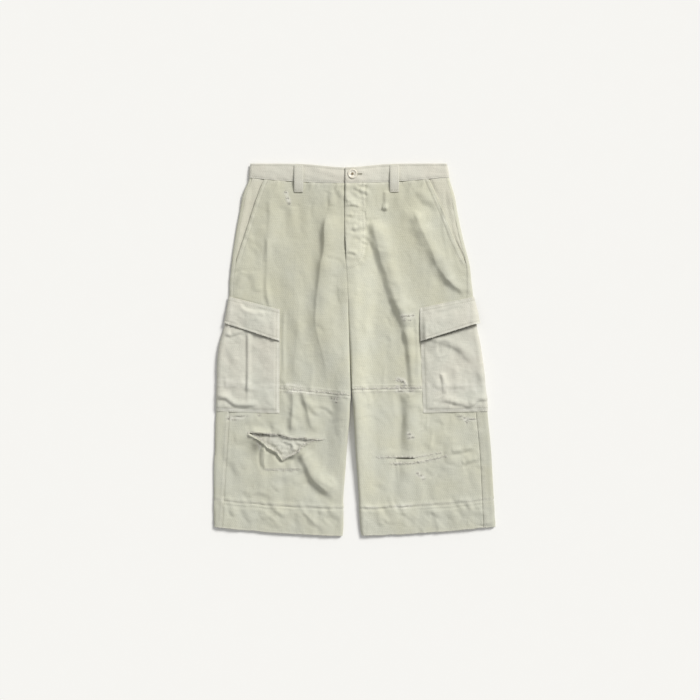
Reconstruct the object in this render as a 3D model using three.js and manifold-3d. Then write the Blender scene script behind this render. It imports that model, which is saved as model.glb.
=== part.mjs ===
// Cropped cargo trousers of washed cotton twill, laid flat on a table with the front up.
// Millimetres. +Y runs from the hems to the waist, +X towards the wearer's left leg, +Z up, table at z = 0.
// Every piece is a wall of cloth over one shared form, the skin: a long flattened tube for each leg that
// opens into the seat above the crotch. What lies on the skin is the same form moved out along its normal.
import * as THREE from "three";
import Module from "manifold-3d";

// Cloth
const CLOTH = 1.2; // one layer of twill
const BAND_CLOTH = 1.8; // waistband, folded double and pressed
const DOUBLE_CLOTH = 1.6; // flaps and belt loops, two layers sewn together
const HEM_CLOTH = 2; // hem, turned up once
const HEM_TURN = 57;
const SEAM_GAP = 0.3; // what two pieces keep between them at a seam

// Folded side edges, as a half ellipse in section
const EDGE_HALF = 3.1; // half of the height from the table to the top of the folded edge
const EDGE_REACH = 5.5; // how far in from the edge the skin is level again
const EDGE_QUARTER = 7; // length of cloth from the outermost line to where it is level
const EDGE_TURNS = [90, 54, 18, -18, -54, -90]; // degrees at which the fold is cut into facets
const INNER_TURNS = [10, 42, 90]; // the same on the inseam, which stays a little open at its seam

// Heights on the body
const WAIST_TOP = 391;
const WAIST_DIP = 8; // the top edge dips at the centre front
const WAIST_SEAM_SIDE = 361;
const WAIST_SEAM_DROP = 11;
const MOUTH_END = 180; // lower end of the slanted pocket mouths, on the side seam
const FLY_END = 168;
const CROTCH = 69;
const CROTCH_ROUND = 50; // height over which the rise turns down into the crotch
const LEVEL_STEP = 24; // spacing of the facet rows, counted from the end of the pocket mouths

// The waistband lies on its back belt loops, so the whole waist stands a little off the table
const WAIST_LIFT = 1.9;
const WAIST_LIFT_TOP = 326;
const WAIST_LIFT_END = 292;

// Fly and button: the wearer's left side closes over the right
const OVERLAP = 43; // width of the underlap
const OVERLAP_FADE = 34;
const BUTTON = { x: -4.2, y: 369.2, radius: 10, shank: 1.6, thick: 3 };
const BUTTONHOLE = { reach: 21, half: 0.8, eye: 2.2 };

const RIGHT = -1;
const LEFT = 1;

// Sections of the body, from the waist down: the outer edges, the centre seam or the middle of the space
// between the legs, half of that space, and how far in front of each outer edge the side seam lies.
const SECTIONS = [
  { y: 391, outerR: -219.5, outerL: 194, centre: -19, part: 0.08, seamR: 7, seamL: 7 },
  { y: 357, outerR: -222, outerL: 200, centre: -19.2, part: 0.08, seamR: 7, seamL: 7 },
  { y: 325, outerR: -234, outerL: 209, centre: -19.5, part: 0.08, seamR: 7, seamL: 7 },
  { y: 294, outerR: -240, outerL: 215, centre: -20, part: 0.08, seamR: 7, seamL: 7 },
  { y: 231, outerR: -251, outerL: 228, centre: -20, part: 0.08, seamR: 7.5, seamL: 7 },
  { y: 180, outerR: -258, outerL: 241, centre: -17.5, part: 0.08, seamR: 9, seamL: 7 },
  { y: 136, outerR: -262, outerL: 246, centre: -15.5, part: 0.08, seamR: 8, seamL: 10 },
  { y: 105, outerR: -262.5, outerL: 249.5, centre: -14, part: 0.08, seamR: 8, seamL: 14 },
  { y: 69, outerR: -266, outerL: 252.5, centre: -12.6, part: 0.08, seamR: 11, seamL: 16 },
  { y: 42, outerR: -273, outerL: 255.5, centre: -11.5, part: 0.16, seamR: 14, seamL: 18 },
  { y: 10, outerR: -281, outerL: 262, centre: -10, part: 0.5, seamR: 18, seamL: 20 },
  { y: -21, outerR: -285, outerL: 266.5, centre: -9, part: 0.6, seamR: 21, seamL: 21 },
  { y: -60, outerR: -286.5, outerL: 271, centre: -7.8, part: 0.8, seamR: 24, seamL: 23 },
  { y: -95, outerR: -287.5, outerL: 275, centre: -6.5, part: 1.6, seamR: 26, seamL: 24 },
  { y: -115, outerR: -288.5, outerL: 277, centre: -5.9, part: 4.2, seamR: 27, seamL: 24 },
  { y: -147, outerR: -291, outerL: 280.5, centre: -5.7, part: 5.6, seamR: 28, seamL: 24 },
  { y: -210, outerR: -293, outerL: 286.5, centre: -6.9, part: 9.3, seamR: 26, seamL: 24 },
  { y: -242, outerR: -294.5, outerL: 288.5, centre: -6.8, part: 11.4, seamR: 25, seamL: 24 },
  { y: -305, outerR: -295, outerL: 291.5, centre: -7.2, part: 16, seamR: 22, seamL: 24 },
  { y: -372, outerR: -294, outerL: 295, centre: -5.8, part: 18.6, seamR: 17, seamL: 25 },
  { y: -391, outerR: -293, outerL: 295, centre: -5, part: 20.8, seamR: 16, seamL: 25 },
];

// Edges of the slanted pocket mouths, from the waist seam down to the side seam
const MOUTHS = [
  { y: 361, right: -188, left: 155 },
  { y: 341, right: -196.5, left: 164 },
  { y: 294, right: -213, left: 184.5 },
  { y: 262, right: -223, left: 198 },
  { y: 231, right: -233, left: 210 },
  { y: 204, right: -242, left: 222.5 },
  { y: 180, right: -249, left: 234 },
];

// The largest folds: three points on the line of each, its rise (a trough where negative) and half width.
const FOLDS = [
  { x0: 50, y0: 262, x1: 92, y1: 140, x2: 134, y2: -50, rise: 3.4, width: 19 },
  { x0: 34, y0: 260, x1: 72, y1: 135, x2: 114, y2: -54, rise: -2.2, width: 15 },
  { x0: 104, y0: 300, x1: 166, y1: 208, x2: 228, y2: 122, rise: 3, width: 16 },
  { x0: -48, y0: 285, x1: -63, y1: 130, x2: -40, y2: -66, rise: 2.8, width: 18 },
  { x0: -64, y0: 283, x1: -80, y1: 130, x2: -58, y2: -66, rise: -2, width: 14 },
  { x0: -176, y0: 318, x1: -174, y1: 230, x2: -172, y2: 128, rise: 2.2, width: 18 },
  { x0: -36, y0: 160, x1: -33, y1: 120, x2: -27, y2: 84, rise: -2, width: 13 },
  { x0: -98, y0: -236, x1: -70, y1: -274, x2: -30, y2: -306, rise: 3.6, width: 16 },
  { x0: -114, y0: -252, x1: -88, y1: -290, x2: -50, y2: -322, rise: -2, width: 14 },
  { x0: 124, y0: -96, x1: 122, y1: -200, x2: 112, y2: -306, rise: 2.6, width: 18 },
  { x0: 104, y0: -96, x1: 102, y1: -200, x2: 94, y2: -306, rise: -2, width: 14 },
  { x0: -150, y0: 232, x1: -130, y1: 130, x2: -118, y2: 10, rise: 1.8, width: 24 },
  { x0: 190, y0: -170, x1: 200, y1: -240, x2: 204, y2: -312, rise: 1.8, width: 22 },
  { x0: -214, y0: -256, x1: -190, y1: -282, x2: -176, y2: -316, rise: 1.6, width: 22 },
];

// Cargo pockets and flaps: x of the front edge at the top and at the foot, and of the pleat. Then heights at
// that front edge and at the side edge, of the flap's upper and lower edges and the pocket's foot.
const CARGO = {
  [RIGHT]: { top: -156.5, bottom: -157, pleat: -226, up: [85, 114], down: [19, 56], foot: [-133, -129] },
  [LEFT]: { top: 136.5, bottom: 144, pleat: 184, up: [88, 112], down: [18, 54], foot: [-132, -129] },
};
const CARGO_HALF_WIDTH = 57; // half of the way from the front edge to the side edge
const POCKET_LIFT = 4.8; // how far the pocket's face stands off the leg
const POCKET_SHOULDER = 8; // width over which the pocket rises from its stitched edges
const POCKET_UNDER_FLAP = 30; // how far the pocket's mouth reaches up under the flap
const PLEAT = { half: 5, depth: 1.6 };

// Belt loops, which end a little below the band's top edge
const LOOP = { width: 19, below: 2.8, foot: 331, bow: 2.4, cells: 8 };
const BACK_LOOP_CLOTH = 1.5;
const LOOP_CENTRES = { belt_loop_front_right: -116.8, belt_loop_front_left: 83.8 };
const BACK_LOOP_CENTRES = { belt_loop_back_right: -124, belt_loop_back_centre: -19, belt_loop_back_left: 86 };

// The rip across the lower right leg and the patch sewn in behind it
const RIP = [
  [-223, -172],
  [-160, -176],
  [-75, -187],
  [-108, -206],
  [-151, -232],
  [-182, -204],
];
const RIP_PATCH = { x0: -237, x1: -64, y0: -239, y1: -160, under: 1.4 };

const { clamp, lerp, smoothstep, degToRad } = THREE.MathUtils;

// Reads a named column of a table whose rows run down the garment, on a smooth curve through the rows.
function read(rows, name, y) {
  const last = rows.length - 1;
  let i = 0;
  while (i < last - 1 && rows[i + 1].y > y) i++;
  const slope = (j) => {
    const before = rows[Math.max(j - 1, 0)];
    const after = rows[Math.min(j + 1, last)];
    return (after[name] - before[name]) / (after.y - before.y);
  };
  const span = rows[i + 1].y - rows[i].y;
  const t = clamp((y - rows[i].y) / span, 0, 1);
  const start = rows[i][name];
  const end = rows[i + 1][name];
  const rest = 1 - t;
  return (
    start * rest * rest * (1 + 2 * t) +
    end * t * t * (3 - 2 * t) +
    span * t * rest * (slope(i) * rest - slope(i + 1) * t)
  );
}

const outerEdge = (side, y) => read(SECTIONS, side === RIGHT ? "outerR" : "outerL", y);
const seamInset = (side, y) => read(SECTIONS, side === RIGHT ? "seamR" : "seamL", y);
const mouthEdge = (side, y) => read(MOUTHS, side === RIGHT ? "right" : "left", y);
const centreLine = (y) => read(SECTIONS, "centre", y);
const innerEdge = (side, y) => centreLine(y) + side * read(SECTIONS, "part", y);
const legWidth = (side, y) => side * (outerEdge(side, y) - innerEdge(side, y));

// Lines across the garment
const fromCentre = (x) => (x - SECTIONS[0].centre) / 200;
const waistTop = (x) => WAIST_TOP - WAIST_DIP * Math.exp(-((fromCentre(x) * 3.2) ** 2));
const waistSeam = (x) => WAIST_SEAM_SIDE - WAIST_SEAM_DROP * Math.max(0, 1 - fromCentre(x) ** 2);
const kneeSeam = (side, x) => (side === RIGHT ? -95.5 - 0.1 * x : -82 + 0.02 * x);

function hemLine(side, x) {
  const out = clamp((side * x - 20) / 273, 0, 1);
  return (side === RIGHT ? -390.5 : -389.5) + 18.5 * out ** 1.6;
}

// How far the skin has turned towards the middle of the edge, at an inset from it
function edgeDrop(inset) {
  const c = 1 - clamp(inset / EDGE_REACH, 0, 1);
  return EDGE_HALF * (1 - Math.sqrt(1 - c * c));
}

// 0 above the crotch, where the fronts and backs are joined to each other, and 1 on the legs
const legPart = (y) => 1 - smoothstep(y, CROTCH, CROTCH + CROTCH_ROUND);
const waistLift = (y) => WAIST_LIFT * smoothstep(y, WAIST_LIFT_END, WAIST_LIFT_TOP);

const foldLines = FOLDS.map((fold) => {
  const ends = [
    new THREE.Vector2(fold.x0, fold.y0),
    new THREE.Vector2(fold.x1, fold.y1),
    new THREE.Vector2(fold.x2, fold.y2),
  ];
  return { ...fold, points: new THREE.SplineCurve(ends).getPoints(14) };
});

// Height of one fold at a point: a bell across its line, which dies away at both ends
function foldHeight(fold, x, y) {
  let nearest = Infinity;
  let share = 0;
  fold.points.forEach((point, i) => {
    const away = Math.hypot(x - point.x, y - point.y);
    if (away < nearest) {
      nearest = away;
      share = i / (fold.points.length - 1);
    }
  });
  const ends = Math.sin(Math.PI * clamp(0.12 + 0.76 * share, 0, 1));
  return fold.rise * ends * Math.exp(-((nearest / fold.width) ** 2));
}

// The left side of the fly and waistband stands on the underlap
function overlapLift(side, x, y) {
  if (side === RIGHT) return 0;
  const across = 1 - smoothstep(x - centreLine(y), OVERLAP + 3, OVERLAP + 3 + OVERLAP_FADE);
  const layer = lerp(CLOTH, BAND_CLOTH, smoothstep(y, 340, 352)) + SEAM_GAP;
  return layer * across * smoothstep(y, FLY_END, FLY_END + 34);
}

// Height of the upper skin, and of the lower skin, at a point of one side
function upperHeight(side, x, y) {
  const outer = side * (outerEdge(side, y) - x);
  const inner = side * (x - innerEdge(side, y));
  const calm =
    smoothstep(outer, EDGE_REACH, EDGE_REACH + 20) *
    lerp(1, smoothstep(inner, EDGE_REACH, EDGE_REACH + 20), legPart(y));
  const waistCalm = 1 - smoothstep(y, 310, 345);
  const folds = foldLines.reduce((sum, fold) => sum + foldHeight(fold, x, y), 0);
  return (
    2 * EDGE_HALF +
    waistLift(y) +
    folds * calm * waistCalm +
    overlapLift(side, x, y) -
    edgeDrop(outer) -
    legPart(y) * edgeDrop(inner)
  );
}

function lowerHeight(side, x, y) {
  const outer = side * (outerEdge(side, y) - x);
  const inner = side * (x - innerEdge(side, y));
  return waistLift(y) + edgeDrop(outer) + legPart(y) * edgeDrop(inner);
}

// `walk` is how far a point is from the outermost line of its side, along the cloth: over the front where
// positive and underneath where negative.
const walkOfTurn = (degrees) => (EDGE_QUARTER * degrees) / 90;

function walkOfInset(inset) {
  if (inset >= EDGE_REACH) return EDGE_QUARTER + inset - EDGE_REACH;
  return (EDGE_QUARTER * Math.acos(1 - inset / EDGE_REACH)) / (Math.PI / 2);
}

const walkOfX = (side, y, x) => walkOfInset(side * (outerEdge(side, y) - x));

function insetOfWalk(walk) {
  const away = Math.abs(walk);
  if (away >= EDGE_QUARTER) return EDGE_REACH + away - EDGE_QUARTER;
  return EDGE_REACH * (1 - Math.cos(((away / EDGE_QUARTER) * Math.PI) / 2));
}

function skin(side, y, walk) {
  const x = outerEdge(side, y) - side * insetOfWalk(walk);
  const z = walk > 0 ? upperHeight(side, x, y) : lowerHeight(side, x, y);
  return new THREE.Vector3(x, y, z);
}

// A point of the skin moved out along its normal
function lifted(side, y, walk, lift) {
  const step = 0.05;
  const across = skin(side, y, walk + step).sub(skin(side, y, walk - step));
  const along = skin(side, y + step, walk).sub(skin(side, y - step, walk));
  const normal = along.cross(across).multiplyScalar(side).normalize();
  return skin(side, y, walk).addScaledVector(normal, lift);
}

// Rows of facets between two lines across the garment, level except at the two lines themselves
function rowsBetween(low, high, lowest, highest) {
  const rows = [low];
  const first = Math.ceil((lowest + 8 - MOUTH_END) / LEVEL_STEP);
  const last = Math.floor((highest - 8 - MOUTH_END) / LEVEL_STEP);
  for (let n = first; n <= last; n++) rows.push(() => MOUTH_END + n * LEVEL_STEP);
  rows.push(high);
  return rows;
}

// A wall of cloth. `columns` gives, at a height, each column's side, walk and place; `rows` the height of
// each row at an x; `lift` how far the outer face is off the skin; `wall` the thickness of the cloth.
function clothWall({ columns, rows, lift, wall }) {
  const count = columns(0).length;
  const outside = [];
  const inside = [];
  rows.forEach((row, j) => {
    for (let i = 0; i < count; i++) {
      let y = row(0);
      let column = columns(y)[i];
      for (let pass = 0; pass < 4; pass++) {
        y = row(skin(column.side, y, column.walk).x);
        column = columns(y)[i];
      }
      const up = lift ? lift(i, j, y) : 0;
      const thick = typeof wall === "function" ? wall(y, column) : wall;
      outside.push(lifted(column.side, y, column.walk, up));
      inside.push(lifted(column.side, y, column.walk, up - thick));
    }
  });
  const far = outside.length;
  const index = [];
  const quad = (a, b, c, d) => index.push(a, b, c, a, c, d);
  const rim = (a, b) => quad(b, a, a + far, b + far);
  const at = (j, i) => j * count + i;
  const lastRow = rows.length - 1;
  for (let j = 0; j < lastRow; j++) {
    for (let i = 0; i < count - 1; i++) {
      quad(at(j, i), at(j, i + 1), at(j + 1, i + 1), at(j + 1, i));
      quad(far + at(j + 1, i), far + at(j + 1, i + 1), far + at(j, i + 1), far + at(j, i));
    }
    rim(at(j + 1, 0), at(j, 0));
    rim(at(j, count - 1), at(j + 1, count - 1));
  }
  for (let i = 0; i < count - 1; i++) {
    rim(at(0, i), at(0, i + 1));
    rim(at(lastRow, i + 1), at(lastRow, i));
  }
  return closedGeometry([...outside, ...inside], index);
}

// A geometry whose faces point outwards, whichever way its walls were laid
function closedGeometry(points, index) {
  let volume = 0;
  for (let i = 0; i < index.length; i += 3) {
    const [a, b, c] = [points[index[i]], points[index[i + 1]], points[index[i + 2]]];
    volume += a.dot(b.clone().cross(c));
  }
  if (volume < 0) index.reverse();
  const geometry = new THREE.BufferGeometry().setFromPoints(points);
  geometry.setIndex(index);
  return geometry;
}

const spread = (from, to, cells) => Array.from({ length: cells + 1 }, (_, i) => lerp(from, to, i / cells));
const onSide = (side, walks) => walks.map((walk) => ({ side, walk }));

// Walks from the inseam or centre seam to a limit nearer the side
function frontWalks(side, y, limit, cells) {
  const edge = walkOfInset(legWidth(side, y));
  const inner = INNER_TURNS.map((turn) => edge - EDGE_REACH * (1 - Math.cos(degToRad(turn))));
  return [...inner.slice(0, -1), ...spread(inner.at(-1), limit, cells)];
}

function frontLimit(side, y) {
  if (y > MOUTH_END) return walkOfX(side, y, mouthEdge(side, y));
  return walkOfInset(seamInset(side, y) + SEAM_GAP);
}

function upperFront(side) {
  return clothWall({
    columns: (y) => onSide(side, frontWalks(side, y, frontLimit(side, y), 10)),
    rows: rowsBetween(
      (x) => kneeSeam(side, x) + SEAM_GAP / 2,
      (x) => waistSeam(x) - SEAM_GAP / 2,
      side === RIGHT ? -66 : -76,
      WAIST_SEAM_SIDE - WAIST_SEAM_DROP,
    ),
    wall: CLOTH,
  });
}

// The turned-up hem is thicker, except at the inseam, where it is pressed thin
const hemWall = (side) => (y, { walk }) => {
  const inset = insetOfWalk(walk);
  const x = outerEdge(side, y) - side * inset;
  const onHem = y < hemLine(side, x) + HEM_TURN && inset < legWidth(side, y) - EDGE_REACH / 2;
  return onHem ? HEM_CLOTH : CLOTH;
};

function lowerFront(side) {
  return clothWall({
    columns: (y) => onSide(side, frontWalks(side, y, walkOfInset(seamInset(side, y) + SEAM_GAP), 10)),
    rows: rowsBetween(
      (x) => hemLine(side, x),
      (x) => kneeSeam(side, x) - SEAM_GAP / 2,
      -371,
      side === RIGHT ? -95 : -82,
    ),
    wall: hemWall(side),
  });
}

// The back runs from the side seam round the folded edge and under the front to the centre back and inseam
function back(side) {
  const turns = EDGE_TURNS.map(walkOfTurn);
  const columns = (y) => {
    const edge = walkOfInset(legWidth(side, y));
    const inner = INNER_TURNS.map((turn) => edge - EDGE_REACH * (1 - Math.cos(degToRad(turn)))).reverse();
    const under = [...spread(EDGE_QUARTER, inner[0], 4), ...inner.slice(1)].map((walk) => -walk);
    return onSide(side, [walkOfInset(seamInset(side, y)), ...turns, ...under.slice(1)]);
  };
  return clothWall({
    columns,
    rows: rowsBetween(
      (x) => hemLine(side, x),
      (x) => waistSeam(x) - SEAM_GAP / 2,
      -371,
      WAIST_SEAM_SIDE - WAIST_SEAM_DROP,
    ),
    wall: hemWall(side),
  });
}

// The facing fills the corner outside the pocket mouth, one layer below the front and tucked under it
function pocketFacing(side) {
  const tuck = 8;
  return clothWall({
    columns: (y) => {
      const inner = walkOfX(side, y, mouthEdge(side, y) - side * tuck);
      return onSide(side, spread(inner, walkOfInset(seamInset(side, y) - 2.5), 3));
    },
    rows: rowsBetween(
      () => MOUTH_END + 4,
      (x) => waistSeam(x) - 2 * SEAM_GAP,
      MOUTH_END + 4,
      WAIST_SEAM_SIDE - WAIST_SEAM_DROP,
    ),
    lift: () => -CLOTH - SEAM_GAP,
    wall: CLOTH,
  });
}

// The fly shield is sewn to the right front and lies under the left one
function flyShield() {
  return clothWall({
    columns: (y) => {
      const x = centreLine(y) + SEAM_GAP;
      return onSide(LEFT, spread(walkOfX(LEFT, y, x), walkOfX(LEFT, y, x + OVERLAP - 3), 3));
    },
    rows: rowsBetween(
      () => FLY_END + 6,
      (x) => waistSeam(x) - 2 * SEAM_GAP,
      FLY_END + 6,
      WAIST_SEAM_SIDE - WAIST_SEAM_DROP,
    ),
    lift: () => -CLOTH - 1.5 * SEAM_GAP,
    wall: CLOTH,
  });
}

// One band all round: from the left end at the fly, round the left edge, under the seat, round the right
// edge and on to the end of the underlap.
function waistband() {
  const turns = EDGE_TURNS.map(walkOfTurn);
  const columns = (y) => {
    const leftEnd = walkOfX(LEFT, y, centreLine(y) + SEAM_GAP / 2);
    const rightEnd = walkOfX(RIGHT, y, centreLine(y) + OVERLAP);
    const middle = walkOfX(LEFT, y, centreLine(y));
    const middleRight = walkOfX(RIGHT, y, centreLine(y));
    return [
      ...onSide(LEFT, spread(leftEnd, EDGE_QUARTER, 10).slice(0, -1)),
      ...onSide(LEFT, turns),
      ...onSide(LEFT, spread(-EDGE_QUARTER, -middle, 4).slice(1)),
      ...onSide(RIGHT, spread(-middleRight, -EDGE_QUARTER, 4).slice(1, -1)),
      ...onSide(RIGHT, turns.toReversed()),
      ...onSide(RIGHT, spread(EDGE_QUARTER, rightEnd, 13).slice(1)),
    ];
  };
  const seam = (x) => waistSeam(x) + SEAM_GAP / 2;
  return clothWall({
    columns,
    rows: [seam, (x) => (seam(x) + waistTop(x)) / 2, waistTop],
    wall: BAND_CLOTH,
  });
}

const loopPlaces = (centre) => spread(centre - LOOP.width / 2, centre + LOOP.width / 2, 2);
const loopHeights = (centre, cells) => spread(LOOP.foot, waistTop(centre) - LOOP.below, cells);

// A loop on the front is bowed between its two tacked ends
function frontLoop(centre) {
  const side = Math.sign(centre);
  const places = loopPlaces(centre);
  return clothWall({
    columns: (y) => onSide(side, places.map((x) => walkOfX(side, y, x))),
    rows: loopHeights(centre, LOOP.cells).map((y) => () => y),
    lift: (i, j) => DOUBLE_CLOTH + SEAM_GAP + LOOP.bow * Math.sin((Math.PI * j) / LOOP.cells) ** 0.7,
    wall: DOUBLE_CLOTH,
  });
}

// A loop at the back is pressed flat between the waistband and the table
function backLoop(centre) {
  const side = centre > SECTIONS[0].centre ? LEFT : RIGHT;
  const places = loopPlaces(centre);
  return clothWall({
    columns: (y) => onSide(side, places.map((x) => -walkOfX(side, y, x))),
    rows: loopHeights(centre, 3).map((y) => () => y),
    lift: () => WAIST_LIFT,
    wall: BACK_LOOP_CLOTH,
  });
}

// Columns shared by a cargo pocket and its flap, from the front edge to just past the folded edge
function cargoColumns(side, turns) {
  const { top, bottom, pleat } = CARGO[side];
  return (y) => {
    const front = lerp(bottom, top, clamp((y + 130) / 200, 0, 1));
    const edge = outerEdge(side, y) - side * EDGE_REACH;
    const places = [
      front,
      front + side * POCKET_SHOULDER,
      lerp(front + side * POCKET_SHOULDER, pleat - side * PLEAT.half, 0.5),
      pleat - side * PLEAT.half,
      pleat,
      pleat + side * PLEAT.half,
      lerp(pleat + side * PLEAT.half, edge, 0.5),
    ];
    return onSide(side, [...places.map((x) => walkOfX(side, y, x)), ...turns.map(walkOfTurn)]);
  };
}

const PLEAT_COLUMN = 4;

// Height of a slanting edge of the pocket or flap: its values at the front edge and at the side edge
function cargoLine(side, [atFront, atSide]) {
  const { top } = CARGO[side];
  return (x) => lerp(atFront, atSide, clamp((x - top) / (side * 2 * CARGO_HALF_WIDTH), 0, 1.1));
}

function cargoPocket(side) {
  const { down, foot } = CARGO[side];
  const edges = [0, 1, 1, 1, 1, 1, 1, 1, 0.8, 0.5, 0];
  const flapEdge = cargoLine(side, down);
  const base = cargoLine(side, foot);
  const mouth = (x) => flapEdge(x) + POCKET_UNDER_FLAP;
  const rows = rowsBetween(base, mouth, -124, Math.min(...down) + POCKET_UNDER_FLAP);
  rows.splice(1, 0, (x) => base(x) + POCKET_SHOULDER);
  const sewn = CLOTH + SEAM_GAP + 0.15;
  return clothWall({
    columns: cargoColumns(side, EDGE_TURNS.slice(0, 4)),
    rows,
    lift: (i, j) => {
      const pleat = i === PLEAT_COLUMN && j > 1 ? PLEAT.depth : 0;
      const rise = j === 0 ? 0 : j === rows.length - 1 ? 0.7 : 1;
      return sewn + (POCKET_LIFT - sewn) * edges[i] * rise - pleat;
    },
    wall: CLOTH,
  });
}

function cargoFlap(side) {
  const { up, down } = CARGO[side];
  const top = cargoLine(side, up);
  const bottom = cargoLine(side, down);
  const sewn = DOUBLE_CLOTH + SEAM_GAP;
  const heights = [7, 6.5, 4.3, sewn];
  const edges = [0.4, 1, 1, 1, 1, 1, 1, 1, 0.92, 0.76];
  const shares = [0, 0.5, 0.76, 1];
  return clothWall({
    columns: cargoColumns(side, EDGE_TURNS.slice(0, 3)),
    rows: shares.map((share) => (x) => lerp(bottom(x), top(x), share)),
    lift: (i, j) => sewn + (heights[j] - sewn) * edges[i],
    wall: DOUBLE_CLOTH,
  });
}

function ripPatch() {
  const { x0, x1, y0, y1, under } = RIP_PATCH;
  return clothWall({
    columns: (y) => onSide(RIGHT, spread(x0, x1, 8).map((x) => walkOfX(RIGHT, y, x))),
    rows: [() => y0, () => -228, () => -204, () => -180, () => y1],
    lift: () => -CLOTH - under,
    wall: CLOTH,
  });
}

// A round button with a raised rim, on a thread shank that goes down through the buttonhole
function button(foot, seat) {
  const { radius, shank, thick } = BUTTON;
  const profile = [
    [0, foot],
    [shank, foot],
    [shank, seat],
    [radius * 0.82, seat],
    [radius, seat + thick * 0.35],
    [radius, seat + thick * 0.75],
    [radius * 0.9, seat + thick],
    [radius * 0.76, seat + thick],
    [radius * 0.62, seat + thick * 0.62],
    [0, seat + thick * 0.55],
  ];
  const geometry = new THREE.LatheGeometry(
    profile.map(([r, z]) => new THREE.Vector2(r, z)),
    28,
  );
  geometry.rotateX(Math.PI / 2);
  return geometry;
}

const wasm = await Module();
wasm.setup();

// Joins the points that share a place, so that a closed surface has no open seam
function toSolid(geometry) {
  const source = geometry.index ? geometry.toNonIndexed() : geometry;
  const position = source.getAttribute("position");
  const places = new Map();
  const points = [];
  const triVerts = new Uint32Array(position.count);
  for (let i = 0; i < position.count; i++) {
    const point = [position.getX(i), position.getY(i), position.getZ(i)];
    const key = point.map((value) => value.toFixed(3)).join(" ");
    if (!places.has(key)) {
      places.set(key, points.length / 3);
      points.push(...point);
    }
    triVerts[i] = places.get(key);
  }
  return new wasm.Manifold(new wasm.Mesh({ numProp: 3, vertProperties: new Float32Array(points), triVerts }));
}

function cut(geometry, tool) {
  const mesh = toSolid(geometry).subtract(toSolid(tool)).getMesh();
  const made = new THREE.BufferGeometry();
  made.setAttribute("position", new THREE.BufferAttribute(mesh.vertProperties, 3));
  made.setIndex(new THREE.BufferAttribute(mesh.triVerts, 1));
  return made;
}

// A keyhole from the shank outwards, and the outline of the rip, as upright tools to cut with
function buttonholeTool() {
  const { reach, half, eye } = BUTTONHOLE;
  const start = Math.asin(half / eye);
  const shape = new THREE.Shape();
  shape.absarc(0, 0, eye, start, 2 * Math.PI - start, false);
  shape.lineTo(reach, -half);
  shape.lineTo(reach, half);
  const level = waistLift(BUTTON.y) + 2 * EDGE_HALF;
  const tool = new THREE.ExtrudeGeometry(shape, { depth: 6, bevelEnabled: false, curveSegments: 8 });
  return tool.translate(BUTTON.x, BUTTON.y, level + SEAM_GAP / 2);
}

function ripTool() {
  const shape = new THREE.Shape(RIP.map(([x, y]) => new THREE.Vector2(x, y)));
  return new THREE.ExtrudeGeometry(shape, { depth: 20, bevelEnabled: false }).translate(0, 0, EDGE_HALF);
}

const twill = (tint) => new THREE.MeshStandardMaterial({ color: tint, roughness: 0.92, metalness: 0 });
const MATERIALS = {
  twill: twill(0xcdccba),
  facing: twill(0xd6d2c3),
  hidden: twill(0xc6c5b3),
  resin: new THREE.MeshStandardMaterial({ color: 0xd8d5c4, roughness: 0.45, metalness: 0 }),
};

const trousers = new THREE.Group();

function addPiece(name, geometry, material = MATERIALS.twill) {
  const piece = new THREE.Mesh(geometry, material);
  piece.name = name;
  trousers.add(piece);
}

for (const [side, word] of [
  [RIGHT, "right"],
  [LEFT, "left"],
]) {
  addPiece(`front_${word}`, upperFront(side));
  addPiece(`lower_front_${word}`, side === RIGHT ? cut(lowerFront(side), ripTool()) : lowerFront(side));
  addPiece(`back_${word}`, back(side));
  addPiece(`pocket_facing_${word}`, pocketFacing(side), MATERIALS.facing);
  addPiece(`cargo_pocket_${word}`, cargoPocket(side));
  addPiece(`cargo_flap_${word}`, cargoFlap(side));
}
addPiece("waistband", cut(waistband(), buttonholeTool()));
addPiece("fly_shield", flyShield(), MATERIALS.hidden);
addPiece("rip_patch_right", ripPatch(), MATERIALS.hidden);
for (const [name, centre] of Object.entries(LOOP_CENTRES)) addPiece(name, frontLoop(centre));
for (const [name, centre] of Object.entries(BACK_LOOP_CENTRES)) addPiece(name, backLoop(centre));

const underlap = upperHeight(RIGHT, BUTTON.x, BUTTON.y);
const overlap = upperHeight(LEFT, BUTTON.x, BUTTON.y);
const buttonGeometry = button(underlap + SEAM_GAP, overlap + SEAM_GAP);
addPiece("button", buttonGeometry.translate(BUTTON.x, BUTTON.y, 0), MATERIALS.resin);

export default trousers;
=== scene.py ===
"""Cropped cargo trousers of garment-washed cotton twill, laid flat with the front up.

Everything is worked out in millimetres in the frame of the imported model: +Y runs from the hems to the waist,
+X towards the wearer's left, +Z up from the table at 0. Each piece of cloth is a closed thin wall laid on the
same skin as its solid: a flattened tube for each leg that opens into the seat above the crotch.
"""

import math

import bpy
import numpy as np
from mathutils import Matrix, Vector


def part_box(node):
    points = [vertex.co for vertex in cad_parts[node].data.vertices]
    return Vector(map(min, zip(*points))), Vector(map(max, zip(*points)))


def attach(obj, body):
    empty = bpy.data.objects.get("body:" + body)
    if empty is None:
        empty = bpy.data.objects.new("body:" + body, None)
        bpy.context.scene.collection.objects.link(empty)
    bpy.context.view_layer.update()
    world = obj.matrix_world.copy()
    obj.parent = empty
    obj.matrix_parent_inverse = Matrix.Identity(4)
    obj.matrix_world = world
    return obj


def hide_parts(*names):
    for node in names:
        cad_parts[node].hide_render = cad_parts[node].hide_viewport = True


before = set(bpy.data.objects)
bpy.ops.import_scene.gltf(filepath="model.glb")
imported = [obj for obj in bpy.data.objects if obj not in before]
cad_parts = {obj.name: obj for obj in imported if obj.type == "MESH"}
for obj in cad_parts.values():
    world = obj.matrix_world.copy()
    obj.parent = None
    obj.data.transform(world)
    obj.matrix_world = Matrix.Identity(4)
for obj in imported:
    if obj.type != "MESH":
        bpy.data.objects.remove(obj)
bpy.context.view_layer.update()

MM = 0.001
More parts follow.
